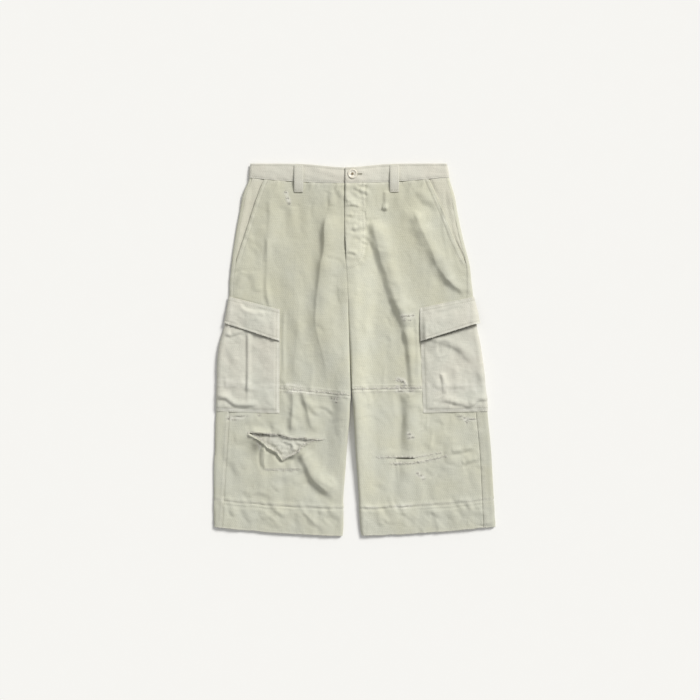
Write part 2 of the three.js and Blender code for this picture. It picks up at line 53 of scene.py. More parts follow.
RIGHT, LEFT = -1, 1
SIDE_NAMES = {RIGHT: "right", LEFT: "left"}

# Cloth
CLOTH = 1.0
DOUBLE_CLOTH = 1.5
SEAM_GAP = 0.3
SEWN_ON = 1.35  # outer face of a single layer that is stitched down on another
WEAVE_STEP = 2.0  # spacing of the points laid on the fronts
HIDDEN_STEP = 3.4  # and on the backs

# The folded side edges, as half ellipses
EDGE_HALF = 3.1
EDGE_REACH = 5.5
EDGE_QUARTER = 7.0

# Heights on the body
WAIST_TOP, WAIST_DIP = 391, 8
WAIST_SEAM_SIDE, WAIST_SEAM_DROP = 361, 11
MOUTH_END = 180
FLY_END = 168
CROTCH, CROTCH_ROUND = 69, 50
WAIST_LIFT, WAIST_LIFT_TOP, WAIST_LIFT_END = 1.9, 326, 292
OVERLAP, OVERLAP_FADE = 43, 34
HEM_TURN = 56
HEM_ROLL = 1.05  # radius of the fold along the hem
BAND_ROLL = 0.9
BAND_ROUND, BAND_HEIGHT = 868, 34  # the waistband, laid out flat and folded

# Rows of topstitching: how far each is from the edge that it follows
KNEE_ROW = 6.2  # on each side of the seam
SIDE_ROWS = (2.0, 7.6)
MOUTH_ROWS = (2.4, 9)
HEM_ROWS = (0.3, 3.6)
BAND_ROWS = (2.6, 5.0)

# From the waist down: height, outer edge on the right and left, centre line, half of the gap between the
# legs, and how far in front of the outer edge the right and left side seams lie.
OUTLINE = [
    (391, -219.5, 194, -19, 0.08, 7, 7),
    (357, -222, 200, -19.2, 0.08, 7, 7),
    (325, -234, 209, -19.5, 0.08, 7, 7),
    (294, -240, 215, -20, 0.08, 7, 7),
    (231, -251, 228, -20, 0.08, 7.5, 7),
    (180, -258, 241, -17.5, 0.08, 9, 7),
    (136, -262, 246, -15.5, 0.08, 8, 10),
    (105, -262.5, 249.5, -14, 0.08, 8, 14),
    (69, -266, 252.5, -12.6, 0.08, 11, 16),
    (42, -273, 255.5, -11.5, 0.16, 14, 18),
    (10, -281, 262, -10, 0.5, 18, 20),
    (-21, -285, 266.5, -9, 0.6, 21, 21),
    (-60, -286.5, 271, -7.8, 0.8, 24, 23),
    (-95, -287.5, 275, -6.5, 1.6, 26, 24),
    (-115, -288.5, 277, -5.9, 4.2, 27, 24),
    (-147, -291, 280.5, -5.7, 5.6, 28, 24),
    (-210, -293, 286.5, -6.9, 9.3, 26, 24),
    (-242, -294.5, 288.5, -6.8, 11.4, 25, 24),
    (-305, -295, 291.5, -7.2, 16, 22, 24),
    (-372, -294, 295, -5.8, 18.6, 17, 25),
    (-391, -293, 295, -5, 20.8, 16, 25),
]

# Edges of the slanted pocket mouths: height, right, left
MOUTHS = [
    (361, -188, 155),
    (341, -196.5, 164),
    (294, -213, 184.5),
    (262, -223, 198),
    (231, -233, 210),
    (204, -242, 222.5),
    (180, -249, 234),
]

# Cargo pockets and flaps: the front edge at the top and at the foot, then heights at the front edge and at
# the side edge, of the flap's upper and lower edges and the pocket's foot.
CARGO = {
    RIGHT: {"top": -156.5, "bottom": -157, "up": (85, 114), "down": (19, 56), "foot": (-133, -129)},
    LEFT: {"top": 136.5, "bottom": 144, "up": (88, 112), "down": (18, 54), "foot": (-132, -129)},
}
CARGO_WIDTH = 114
POCKET_LIFT = 4.2
POCKET_SHOULDER = 13
POCKET_UNDER_FLAP = 30

# Broad swells of the laid cloth: the line of each, half width and rise, a hollow where negative
SWELLS = [
    ([(46, 262), (80, 140), (122, -50)], 16, 3.2),
    ([(34, 260), (72, 135), (114, -54)], 15, -2.2),
    ([(104, 300), (166, 208), (228, 122)], 16, 3.0),
    ([(-48, 285), (-63, 130), (-40, -66)], 18, 2.8),
    ([(-64, 283), (-80, 130), (-58, -66)], 14, -2.0),
    ([(-176, 318), (-174, 230), (-172, 128)], 18, 2.2),
    ([(-36, 160), (-33, 120), (-27, 84)], 13, -2.0),
    ([(-98, -236), (-70, -274), (-30, -306)], 18, 1.8),
    ([(-114, -252), (-88, -290), (-50, -322)], 14, -2.0),
    ([(124, -96), (122, -200), (112, -306)], 18, 2.6),
    ([(104, -96), (102, -200), (94, -306)], 14, -2.0),
    ([(-150, 232), (-130, 130), (-118, 10)], 24, 1.8),
    ([(190, -170), (200, -240), (204, -312)], 22, 1.8),
    ([(-214, -256), (-190, -282), (-176, -316)], 22, 1.6),
]

# Creases of the legs: the line of each, its width and its depth. The cloth stands up on the left of the way
# along the line and sinks on the right of it.
LEG_CREASES = [
    ([(98, -86), (102, -130), (102, -170), (97, -218)], 7.5, 4.6),
    ([(97, -236), (92, -270), (88, -318)], 8, 1.6),
    ([(126, 332), (144, 311), (161, 302), (171, 283)], 6, 1.52),
    ([(177, 309), (187, 284), (203, 271)], 4, 1.33),
    ([(-140, 300), (-141, 264), (-140, 231)], 7, 1.14),
    ([(-110, 306), (-111, 270), (-109, 238)], 7, 0.95),
    ([(-54, 333), (-54, 299)], 4, 1.52),
    ([(-39, 334), (-28, 316)], 4, 1.71),
    ([(-112, -92), (-108, -112), (-93, -138)], 5, 1.1),
    ([(-41, -103), (-40, -135), (-41, -170)], 7, 1.14),
    ([(-17, 311), (-5, 308)], 2.4, 1.52),
    ([(10, 333), (20, 329), (30, 324)], 2.8, 1.71),
    ([(8, 342), (17, 345), (28, 341)], 2.6, 1.14),
    ([(-17, 281), (-10, 280), (-2, 279)], 2.6, 1.14),
    ([(-17, 266), (-6, 264), (8, 267)], 3, 0.95),
    ([(-17, 250), (-7, 252), (6, 248)], 3, 0.85),
    ([(-15, 203), (-6, 202), (5, 198)], 2.6, 1.71),
    ([(24, 240), (28, 222), (20, 190), (2, 172)], 5, 1.33),
    ([(46, -226), (80, -224), (128, -225), (182, -216)], 3.2, 0.7),
    ([(84, -238), (121, -237), (150, -233), (195, -222)], 3.2, 0.5),
    ([(204, -217), (230, -213), (254, -206)], 3.6, 2.1),
    ([(226, -241), (246, -235), (262, -231)], 3.6, 2.2),
    ([(190, -190), (194, -225), (186, -262)], 8, 1.14),
    ([(30, -120), (34, -180), (28, -250)], 9, 1.14),
    ([(60, 120), (50, 70), (44, 10)], 9, 0.95),
    ([(14, 130), (20, 84), (18, 30)], 8, 0.95),
    ([(150, -40), (140, -62), (126, -80)], 5, 0.95),
    ([(-240, 168), (-246, 150), (-250, 128)], 5, 1.14),
    ([(-222, 160), (-214, 138), (-212, 118)], 6, 1.33),
    ([(-206, 262), (-204, 214), (-210, 168)], 7, 0.95),
    ([(-232, -150), (-214, -156), (-190, -152)], 6, 0.95),
    ([(-250, -196), (-225, -192), (-206, -196)], 7, 1.52),
    ([(-196, -198), (-197, -225), (-194, -252)], 3.2, 2.47),
    ([(-262, -232), (-250, -262), (-256, -300)], 8, 1.14),
    ([(-150, -262), (-140, -290), (-146, -314)], 8, 0.95),
    ([(150, -270), (160, -292), (156, -312)], 7, 0.95),
    ([(-24, -318), (-36, -330), (-40, -338)], 4, 1.33),
    # along the hems, where the turned cloth ropes
    ([(-76, -338), (-72, -347)], 3, 1.1),
    ([(-60, -343), (-44, -350), (-28, -360)], 6, 1.71),
    ([(-262, -336), (-254, -352)], 4, 1.33),
    ([(-238, -334), (-230, -350), (-216, -366)], 4, 1.14),
    ([(-206, -342), (-184, -358), (-160, -370)], 6, 0.7),
    ([(-140, -342), (-118, -358)], 6, 0.7),
    ([(30, -336), (44, -352), (50, -372)], 5, 0.8),
    ([(64, -334), (76, -352), (80, -368)], 5, 0.6),
    ([(96, -334), (112, -350), (138, -360)], 7, 0.7),
    ([(150, -338), (184, -350), (222, -352)], 6, 0.7),
    ([(176, -326), (192, -340), (206, -362)], 6, 0.5),
    ([(214, -322), (222, -340), (234, -354)], 6, 0.7),
    ([(250, -318), (256, -336)], 4, 0.95),
    ([(264, -366), (276, -367), (291, -366)], 3, 2.2),
    ([(18, -332), (44, -333), (78, -331)], 2.0, 1.3),
    ([(96, -329), (126, -327)], 2.0, 1.1),
]

# Low swells of the leg beside the front edges of the cargo pockets
BESIDE_POCKET = [
    ([(-148, 82), (-149, 10), (-147, -70)], 4, 1.6),
    ([(128, 76), (132, -20), (136, -90)], 4, 1.2),
]

# Sharp creases: the cloth lies flat up to the line of a hollow, and falls away at once behind the line of
# a ridge.
LEG_HOLLOWS = [
    ([(27, 268), (33, 241), (43, 200), (56, 157), (75, 105), (91, 66), (99, 40), (104, 16)], 8, 7.0),
    ([(98, 46), (105, 10), (110, -31), (113, -58), (113, -100)], 5.0, 5.0),
    ([(-123, -218), (-114, -236), (-104, -253), (-98, -266), (-87, -281), (-66, -300),
      (-44, -322)], 6.5, 5.1),
    ([(60, 333), (60, 310), (58, 293)], 3, 1.71),
    ([(57, 293), (71, 291)], 2.6, 3.3),
    ([(-17, 302), (-4, 302), (12, 298)], 2.4, 2.47),
]

LEG_RIDGES = [
    ([(100, 296), (120, 276), (140, 252), (150, 232)], 8, 0.5),
    ([(122, 290), (132, 270), (142, 250), (152, 229), (164, 204), (171, 181), (188, 155), (205, 135),
      (233, 112)], 6.8, 4.1),
    ([(192, 152), (206, 136), (220, 126), (231, 114)], 4, 3.3),
    ([(-58, 285), (-62, 265), (-64, 216), (-74, 143), (-81, 90), (-81, 48), (-72, 8), (-62, -34),
      (-54, -82)], 9.0, 6.2),
    ([(-59, 276), (-63, 246), (-65, 205), (-69, 160)], 3.5, 1.6),
    ([(-116, 112), (-121, 30), (-127, -40), (-130, -92)], 6, 1.9),
    ([(-130, -86), (-131, -125), (-134, -184)], 3.8, 3.8),
    ([(-111, -86), (-104, -112), (-97, -138), (-88, -176)], 3.8, 3.4),
    ([(-35, 161), (-33, 122), (-26, 83)], 5, 1.9),
    ([(-180, 318), (-179, 283), (-183, 231), (-185, 168)], 3.0, 0.9),
    ([(-183, 236), (-185, 168), (-185, 126), (-180, 88), (-178, 20)], 3.0, 2.4),
    ([(-102, 16), (-102, -17)], 5, 0.95),
    ([(-107, -340), (-92, -356), (-75, -374)], 3.6, 1.9),
]

POCKET_CREASES = [
    ([(-225, 36), (-225, -40), (-227, -119)], 2.4, 2.98),
    ([(-272, 32), (-258, 29), (-243, 35), (-225, 34)], 3, 2.52),
    ([(-288, -102), (-271, -102), (-259, -111), (-248, -117), (-227, -118), (-196, -115)], 3.2, 3.67),
    ([(-274, -77), (-245, -76), (-226, -83), (-199, -81)], 6, 1.84),
    ([(-206, 6), (-190, -30), (-196, -70)], 9, 1.15),
    ([(-266, 8), (-258, -24), (-262, -60)], 8, 1.15),
    ([(-196, 30), (-205, 16), (-220, 14)], 5, 1.38),
    ([(158, 22), (180, 16), (204, 6), (224, -6), (238, -22), (256, -34)], 6, 4.2),
    ([(146, 14), (168, 6), (176, 0)], 5, 1.38),
    ([(180, -50), (185, -71), (184, -94)], 3, 2.75),
    ([(208, -36), (210, -70), (209, -100)], 4, 0.92),
    ([(181, -107), (196, -108), (211, -113), (224, -115), (239, -120), (249, -115), (260, -106), (280, -106),
      (310, -108)], 3.4, 3.4),
    ([(192, -82), (214, -79), (240, -82)], 4.5, 1.84),
    ([(164, -70), (176, -80), (182, -88)], 5, 0.92),
    ([(252, -30), (262, -58), (258, -84)], 8, 1.61),
]

FLAP_CREASES = [
    ([(-186, 80), (-198, 82), (-213, 83), (-231, 89), (-241, 103)], 3, 2.34),
    ([(-236, 60), (-212, 50), (-186, 46)], 9, 0.9),
    ([(168, 78), (196, 84), (226, 94)], 3.4, 0.9),
    ([(160, 50), (190, 56), (224, 66)], 9, 0.9),
    ([(152, 40), (166, 34), (180, 36)], 5, 0.72),
]

# Creases under the seat and the backs of the legs, where the cloth is drawn in and clear of the table
BACK_CREASES = [
    ([(-150, 300), (-120, 220), (-100, 130)], 10, 1.5),
    ([(130, 310), (96, 230), (70, 150)], 9, 1.35),
    ([(-60, 120), (-90, 80), (-140, 60)], 7, 1.5),
    ([(40, 110), (80, 76), (130, 64)], 7, 1.35),
    ([(-120, 40), (-140, -60), (-120, -160)], 10, 1.2),
    ([(120, 30), (150, -80), (136, -190)], 10, 1.35),
    ([(-230, -60), (-180, -90), (-120, -84)], 6, 1.2),
    ([(60, -70), (120, -92), (190, -80)], 6, 1.2),
    ([(-200, -230), (-140, -250), (-80, -300)], 8, 1.05),
    ([(70, -220), (130, -260), (220, -270)], 8, 1.05),
    ([(-200, 180), (-170, 120), (-180, 40)], 9, 0.9),
    ([(200, 190), (180, 130), (196, 60)], 9, 0.9),
]

# The rip across the lower right leg, the foot of its curled lower lip, and the narrow slit on the left leg
RIP = [
    # the upper edge, towards the inner seam
    (-224, -172.5), (-205, -174), (-180, -176), (-159, -177), (-141, -182), (-125, -184.5),
    (-107, -184.5), (-98, -188), (-88, -187), (-75, -188.5),
    # and back along the lower edge
    (-92, -192), (-104, -198), (-111, -205), (-118, -212), (-131, -218.5), (-144, -224),
    (-150.5, -229), (-155, -221), (-163, -213.5), (-174, -209), (-182, -201), (-193, -192),
    (-208, -181),
]
RIP_LIP = [
    (-226, -175), (-213, -181.5), (-201, -188.5), (-189.5, -197), (-184, -201.5), (-176, -207.5),
    (-164.5, -213.5), (-158, -221), (-151, -230.5), (-145, -227), (-132, -221), (-120, -215),
    (-114, -207.5), (-104, -199.5), (-97, -194.5), (-84, -190),
]
SLIT = [
    (80, -227), (92, -225.4), (106, -224.8), (120, -225.4),
    (130, -227), (118, -228.6), (104, -229), (90, -228.4),
]
# Outline of the patch where it is pressed through the cloth
PATCH_START, PATCH_END, PATCH_FOOT, PATCH_TOP = -191, -105, -250, -190

# Lines along which the cloth is rubbed to loose yarns: the line, and half the width of the band
FRAYED = [
    ([(46, -225), (80, -224), (128, -224), (182, -216)], 3.2),
    ([(76, -238), (121, -237), (150, -233), (195, -222)], 4.0),
    ([(-146, -73), (-124, -73), (-107, -78)], 4.0),
    ([(-146, -86), (-115, -87), (-76, -90)], 4.0),
    ([(84, -66), (92, -60), (104, -64), (108, -74), (98, -80), (86, -76), (84, -66)], 3.0),
    ([(84, -86), (128, -84)], 3.6),
    ([(-190, -250), (-150, -251), (-106, -250)], 3.0),
    ([(22, -330), (54, -331)], 3.0),
    ([(82, -328), (128, -327)], 3.4),
    ([(-262, -144), (-228, -142)], 3.0),
    ([(222, -141), (240, -146), (256, -144)], 3.2),
    ([(96, 72), (124, 71)], 3.4),
    ([(112, -170), (124, -186)], 5.0),
    ([(130, -256), (148, -272)], 4.0),
    ([(-144, 333), (-136, 305)], 4.0),
]

# Crumples of the patch that shows through the rip
PATCH_CREASES = [
    ([(-146, -200), (-134, -198), (-133, -208), (-141, -216)], 3, 2.4),
    ([(-166, -206), (-158, -214), (-152, -222)], 3, 2.2),
    ([(-186, -192), (-172, -200), (-164, -210)], 4, 1.8),
    ([(-128, -192), (-118, -198), (-112, -204)], 3, 2.0),
    ([(-176, -184), (-160, -190), (-148, -188)], 4, 1.4),
    ([(-130, -214), (-122, -208), (-118, -200)], 3, 1.8),
]

# Small worn places: x, y, half length along x, half length along y, and how dark the hole is, its dark
# being painted shade for the shaded inside of the hole
NICKS = [
    (-144, 331, 2, 3, 0.5), (-140, 318, 2, 2, 0.5), (-137, 307, 2, 3, 0.6),
    (101, 70, 4, 1.6, 0.7), (112, 71, 4, 1.6, 0.8), (122, 72, 2, 1.6, 0.9),
    (105, 63, 2, 3, 0.6), (116, 62, 2, 1.6, 0.5),
    (92, -62, 3, 2, 0.7), (100, -66, 3, 3, 0.9), (105, -74, 3, 2, 0.7),
    (90, -76, 2, 2, 0.5), (97, -86, 6, 1.5, 0.7), (118, -86, 7, 1.5, 0.7),
    (-48, -101, 1.8, 1.8, 0.7), (-42, -102, 1.8, 1.8, 0.9),
    (-37, -102, 1.6, 1.6, 0.7), (-38, -109, 1.8, 1.8, 0.8),
    (116, -176, 3, 2, 0.7), (121, -183, 3, 2, 0.8), (114, -184, 2, 2, 0.5),
    (132, -258, 2, 2, 0.6), (140, -263, 3, 1.6, 0.7), (146, -270, 2, 2, 0.5),
    (-240, -139, 13, 1.3, 0.8), (-264, -143, 2.5, 2.5, 0.9),
    (-199, -137, 3, 1.8, 0.6), (-252, -146, 5, 1.5, 0.5),
    (222, -139, 5, 1.4, 0.7), (230, -143, 4, 1.4, 0.8), (246, -145, 9, 1.3, 0.8),
    (236, -150, 1.3, 5, 0.7), (-258, 49, 4, 2.4, 0.7),
]

# Broad paler and darker patches: partly the uneven fade that washing leaves, partly painted light and shade
# for the broad swells of the cloth. x, y, reach along x and y, amount, darker where negative
FADE_AND_PAINTED_LIGHT = [
    # paler at the waistband (y 374) and darker at the hems (y -370): painted light, brighter towards the top
    (24, 110, 28, 210, 2.0), (6, 280, 30, 70, 0.6), (90, 374, 120, 16, 0.9), (-120, 374, 90, 16, 0.3),
    (150, 300, 60, 60, 0.2), (-170, 250, 26, 60, 0.3), (-110, 200, 40, 120, -0.3),
    (-118, -20, 50, 130, -0.3), (-150, -250, 130, 110, -0.1), (90, -230, 120, 140, 0.35),
    (-150, -370, 160, 26, -0.2), (150, -370, 160, 26, -0.15), (150, 270, 60, 60, 0.2),
    (160, 80, 60, 40, 0.25), (286, -230, 14, 140, -0.7), (170, 310, 50, 50, 0.35),
    # the dark spots from here to (-113, -222) round the rip: painted shadow beside and under its curled lower
    # lip
    (-208, -203, 13, 15, -4.0), (-170, -219, 8, 4, -2.6), (-150, -231, 8, 3, -2.4),
    (-132, -226, 10, 4, -3.4), (-113, -222, 7, 8, -2.5), (-148, 10, 5, 90, 0.5),
    (196, 262, 22, 60, 0.45), (215, 250, 14, 40, 0.4), (190, -60, 60, 90, 0.35),
]


def smooth(value, start, end):
    share = np.clip((value - start) / (end - start), 0, 1)
    return share * share * (3 - 2 * share)


def between(start, end, share):
    return start + (end - start) * share


def near(away, reach):
    return np.exp(-((away / reach) ** 2))


def spot(x, y, at_x, at_y, wide, tall, reach=1):
    """1 in the middle of an oval, fading to 0 around it."""
    return near(np.hypot((x - at_x) / wide, (y - at_y) / tall), reach)


def nick_spots(x, y, reach=1, wider=0):
    """For each small worn hole, how dark it is, and how near points are to it from 0 to 1."""
    for nick_x, nick_y, half_x, half_y, dark in NICKS:
        yield dark, spot(x, y, nick_x, nick_y, half_x + wider, half_y + wider, reach)


def follow(rows, column):
    """A smooth curve through one column of a table whose rows run down the garment."""
    table = np.array(rows, float)[::-1]
    y, value = table[:, 0], table[:, column]
    slope = np.gradient(value)
    slope[1:-1] = (value[2:] - value[:-2]) / (y[2:] - y[:-2])
    slope[0] = (value[1] - value[0]) / (y[1] - y[0])
    slope[-1] = (value[-1] - value[-2]) / (y[-1] - y[-2])

    def curve(at):
        i = np.clip(np.searchsorted(y, at) - 1, 0, len(y) - 2)
        span = y[i + 1] - y[i]
        t = np.clip((at - y[i]) / span, 0, 1)
        rest = 1 - t
        ends = value[i] * rest**2 * (1 + 2 * t) + value[i + 1] * t**2 * (3 - 2 * t)
        return ends + span * t * rest * (slope[i] * rest - slope[i + 1] * t)

    return curve


outer_edge = {RIGHT: follow(OUTLINE, 1), LEFT: follow(OUTLINE, 2)}
seam_inset = {RIGHT: follow(OUTLINE, 5), LEFT: follow(OUTLINE, 6)}
mouth_edge = {RIGHT: follow(MOUTHS, 1), LEFT: follow(MOUTHS, 2)}
centre_line = follow(OUTLINE, 3)
half_gap = follow(OUTLINE, 4)


def inner_edge(side, y):
    return centre_line(y) + side * half_gap(y)


def leg_width(side, y):
    return side * (outer_edge[side](y) - inner_edge(side, y))


def from_centre(x):
    return (x - OUTLINE[0][3]) / 200


def waist_top(x):
    return WAIST_TOP - WAIST_DIP * near(from_centre(x), 1 / 3.2)


def waist_seam(x):
    return WAIST_SEAM_SIDE - WAIST_SEAM_DROP * np.maximum(0, 1 - from_centre(x) ** 2)


def knee_seam(side, x):
    return -95.5 - 0.1 * x if side == RIGHT else -82 + 0.02 * x


def hem_line(side, x):
    out = np.clip((side * x - 20) / 273, 0, 1)
    ragged = 0.7 * uneven(x / 19, 0 * x, 31) + 0.35 * uneven(x / 6, 0 * x, 32)
    return (-390.0 if side == RIGHT else -389.0) + 18.5 * out**1.6 + ragged


def leg_part(y):
    return 1 - smooth(y, CROTCH, CROTCH + CROTCH_ROUND)


def uneven(u, v, seed):
    """Smooth unevenness from -1 to 1, with about one rise or hollow for each unit of u and v."""
    lattice = np.random.default_rng(seed).uniform(-1, 1, (128, 128))
    i, j = np.floor(u).astype(int), np.floor(v).astype(int)
    along, up = smooth(u - i, 0, 1), smooth(v - j, 0, 1)
    near_row = between(lattice[i % 128, j % 128], lattice[(i + 1) % 128, j % 128], along)
    far_row = between(lattice[i % 128, (j + 1) % 128], lattice[(i + 1) % 128, (j + 1) % 128], along)
    return between(near_row, far_row, up)


def curved(points, per_span=8):
    """A smooth line through a few points."""
    points = np.array(points, float)
    if len(points) < 3:
        return between(points[0], points[1], np.linspace(0, 1, per_span + 1)[:, None])
    ghost = np.vstack([2 * points[0] - points[1], points, 2 * points[-1] - points[-2]])
    t = np.linspace(0, 1, per_span, endpoint=False)[:, None]
    made = []
    for a, b, c, d in zip(ghost, ghost[1:], ghost[2:], ghost[3:]):
        made.append(
            0.5 * (2 * b + (c - a) * t + (2 * a - 5 * b + 4 * c - d) * t**2 + (3 * b - a - 3 * c + d) * t**3)
        )
    return np.vstack([*made, points[-1:]])


def beside(line, x, y):
    """How far points are from a line, positive on its left, and how far along it they are, from 0 to 1."""
    best = np.full(np.shape(x), np.inf)
    signed, share = np.zeros(np.shape(x)), np.zeros(np.shape(x))
    length = np.concatenate([[0], np.cumsum(np.hypot(*np.diff(line, axis=0).T))])
    for k, (start, end) in enumerate(zip(line, line[1:])):
        way = end - start
        run = np.hypot(*way)
        t = np.clip(((x - start[0]) * way[0] + (y - start[1]) * way[1]) / run**2, 0, 1)
        dx, dy = x - start[0] - t * way[0], y - start[1] - t * way[1]
        away = np.hypot(dx, dy)
        closer = away < best
        best = np.where(closer, away, best)
        signed = np.where(closer, np.sign(way[0] * dy - way[1] * dx) * away, signed)
        share = np.where(closer, (length[k] + t * run) / length[-1], share)
    return signed, share


def bell(u):
    return np.exp(-(u**2))


def fold(u):
    """The section across a crease: up on the one side, and down by less on the other, with no kink."""
    high, low = u / 1.6, u
    return np.where(u > 0, high * np.exp(0.5 * (1 - high**2)), 0.625 * low * np.exp(0.5 * (1 - low**2)))


def hollow(u):
    """As a fold, but flat up to the line, with all of the rise just behind it."""
    return 1.3 * smooth(u, -0.6, 1.5) * bell(np.maximum(u - 1.5, 0) / 3.0)


def ridge(u):
    """As a fold, but with a sharp line where the high side ends."""
    return np.where(u > 0, bell(u / 2.8), np.exp(np.minimum(u, 0) / 0.95)) - 0.25 * bell((u + 2.4) / 1.4)


FIELD_X, FIELD_Y = np.arange(-330.0, 331.0), np.arange(-420.0, 421.0)


def pressed(lines, section):
    """A sheet of heights, one for each millimetre, with all the folds of a table pressed into it."""
    sheet = np.zeros((len(FIELD_Y), len(FIELD_X)))
    for number, (points, width, depth) in enumerate(lines):
        line = curved(points)
        reach = 7 * width
        columns = slice(*np.searchsorted(FIELD_X, [line[:, 0].min() - reach, line[:, 0].max() + reach]))
        rows = slice(*np.searchsorted(FIELD_Y, [line[:, 1].min() - reach, line[:, 1].max() + reach]))
        x, y = np.meshgrid(FIELD_X[columns], FIELD_Y[rows])
        wander = 0.2 * width
        bent_x = x + wander * uneven(x / 23, y / 23, 41)
        away, share = beside(line, bent_x, y + wander * uneven(x / 23, y / 23, 42))
        fading = smooth(share, -0.03, 0.09) * smooth(1 - share, 0, 0.3)
        patchy = 1 + 0.35 * uneven(share * len(points) * 1.5, share * 0 + number, 43)
        sheet[rows, columns] += depth * section(away / width) * fading * patchy
    return sheet


def read(sheet, x, y):
    u = np.clip(x - FIELD_X[0], 0, len(FIELD_X) - 1.001)
    v = np.clip(y - FIELD_Y[0], 0, len(FIELD_Y) - 1.001)
    i, j = u.astype(int), v.astype(int)
    low = between(sheet[j, i], sheet[j, i + 1], u - i)
    high = between(sheet[j + 1, i], sheet[j + 1, i + 1], u - i)
    return between(low, high, v - j)


def strewn(count, seed, low, high, lean):
    """Short creases strewn over a part of the cloth, at about one angle."""
    chance = np.random.default_rng(seed)
    made = []
    for _ in range(count):
        x, y = chance.uniform(low, high)
        angle, length = math.radians(chance.normal(lean, 32)), chance.uniform(16, 52)
        t = np.linspace(-0.5, 0.5, 3)[:, None]
        bend = chance.normal(0, 0.12) * length * (1 - 4 * t**2)
        way = np.array([math.cos(angle), math.sin(angle)])
        aside = np.array([-math.sin(angle), math.cos(angle)])
        line = [x, y] + t * length * way + bend * aside
        made.append((line, chance.uniform(2.6, 5), chance.uniform(0.4, 1.1)))
    return made


strewn_sheet = (
    0.6 * pressed(strewn(56, 201, (-250, -60), (240, 330), -86), fold)
    + pressed(strewn(26, 202, (-270, -180), (270, -60), -10), fold)
    + 0.8 * pressed(strewn(54, 203, (-280, -330), (280, -110), -66), fold)
    + 0.6 * pressed(strewn(30, 204, (-280, -380), (280, -340), -40), fold)
    + pressed(strewn(16, 205, (0, 180), (36, 350), -5), fold)
)


def small_creases(x, y):
    return read(strewn_sheet, x, y)


swells = pressed(SWELLS, bell)
leg_creases = pressed(LEG_CREASES, fold) + pressed(LEG_HOLLOWS, hollow) + pressed(LEG_RIDGES, ridge)
leg_creases += pressed(BESIDE_POCKET, bell)
pocket_creases = 0.5 * pressed(POCKET_CREASES, fold) + 0.6 * pressed(POCKET_CREASES, ridge)
flap_creases = pressed(FLAP_CREASES, fold)
back_creases = pressed(BACK_CREASES, fold)
frayed_bands = pressed([(points, width, 1.0) for points, width in FRAYED], bell)
patch_creases = pressed(PATCH_CREASES, fold)


# ---- The skin that every piece lies on


def edge_drop(inset):
    turned = 1 - np.clip(inset / EDGE_REACH, 0, 1)
    return EDGE_HALF * (1 - np.sqrt(1 - turned**2))


def waist_lift(y):
    return WAIST_LIFT * smooth(y, WAIST_LIFT_END, WAIST_LIFT_TOP)


def overlap_lift(side, x, y):
    if side == RIGHT:
        return 0 * x
    across = 1 - smooth(x - centre_line(y), OVERLAP + 3, OVERLAP + 3 + OVERLAP_FADE)
    layer = between(1.2, 1.8, smooth(y, 340, 352)) + SEAM_GAP
    return layer * across * smooth(y, FLY_END, FLY_END + 34)


def skin(side, y, walk):
    """A point of the skin, `walk` mm along the cloth from the outermost line: over the front, or underneath
    where it is negative."""
    away = np.abs(walk)
    turn = np.minimum(away / EDGE_QUARTER, 1) * math.pi / 2
    inset = np.where(away >= EDGE_QUARTER, EDGE_REACH + away - EDGE_QUARTER, EDGE_REACH * (1 - np.cos(turn)))
    x = outer_edge[side](y) - side * inset
    inner = side * (x - inner_edge(side, y))
    drop = edge_drop(inset) + leg_part(y) * edge_drop(inner)
    inner_calm = between(1, smooth(inner, EDGE_REACH, EDGE_REACH + 20), leg_part(y))
    calm = smooth(inset, EDGE_REACH, EDGE_REACH + 20) * inner_calm * (1 - smooth(y, 310, 345))
    upper = 2 * EDGE_HALF + waist_lift(y) + calm * read(swells, x, y) + overlap_lift(side, x, y) - drop
    return np.stack([x, y + 0 * x, np.where(walk > 0, upper, waist_lift(y) + drop)], -1)


def walk_of_inset(inset):
    turned = np.arccos(1 - np.clip(inset / EDGE_REACH, 0, 1)) / (math.pi / 2)
    return np.where(inset >= EDGE_REACH, EDGE_QUARTER + inset - EDGE_REACH, EDGE_QUARTER * turned)


def walk_of(side, x, y):
    return walk_of_inset(side * (outer_edge[side](y) - x))


def unit(vectors):
    return vectors / np.linalg.norm(vectors, axis=-1, keepdims=True)


def laid(side, y, walk, lift):
    """Points a given height above the skin, and the way out from it."""
    step = 0.05
    across = skin(side, y, walk + step) - skin(side, y, walk - step)
    along = skin(side, y + step, walk) - skin(side, y - step, walk)
    out = unit(side * np.cross(along, across))
    return skin(side, y, walk) + out * np.asarray(lift)[..., None], out


# ---- How the cloth of each piece stands off its skin


def washed(x, y):
    """What washing leaves in the cloth: long soft swells down the leg, then shorter broken creases."""
    u, v = x + 14 * uneven(x / 70, y / 90, 11), y + 20 * uneven(x / 60, y / 80, 12)
    broken = near(uneven(u / 34, v / 62, 15), 0.13) * smooth(uneven(x / 48, y / 60, 17), -0.1, 0.8)
    soft = 1.3 * uneven(u / 34, v / 110, 13) + 0.75 * uneven(u / 17, v / 40, 14)
    return soft + 1.1 * broken + 0.2 * uneven(x / 6, y / 8, 16)


def gathers(away, along, seed, depth=0.4, reach=8, length=10):
    """Cloth drawn into short ridges across a row of stitches."""
    return depth * uneven((along + 0.4 * away) / length, 0 * away, seed) * near(away, reach)


def cargo_front(side, y):
    return between(CARGO[side]["bottom"], CARGO[side]["top"], np.clip((y + 130) / 200, 0, 1))


def cargo_line(side, name, x):
    at_front, at_side = CARGO[side][name]
    return between(at_front, at_side, np.clip(side * (x - CARGO[side]["top"]) / CARGO_WIDTH, 0, 1.1))


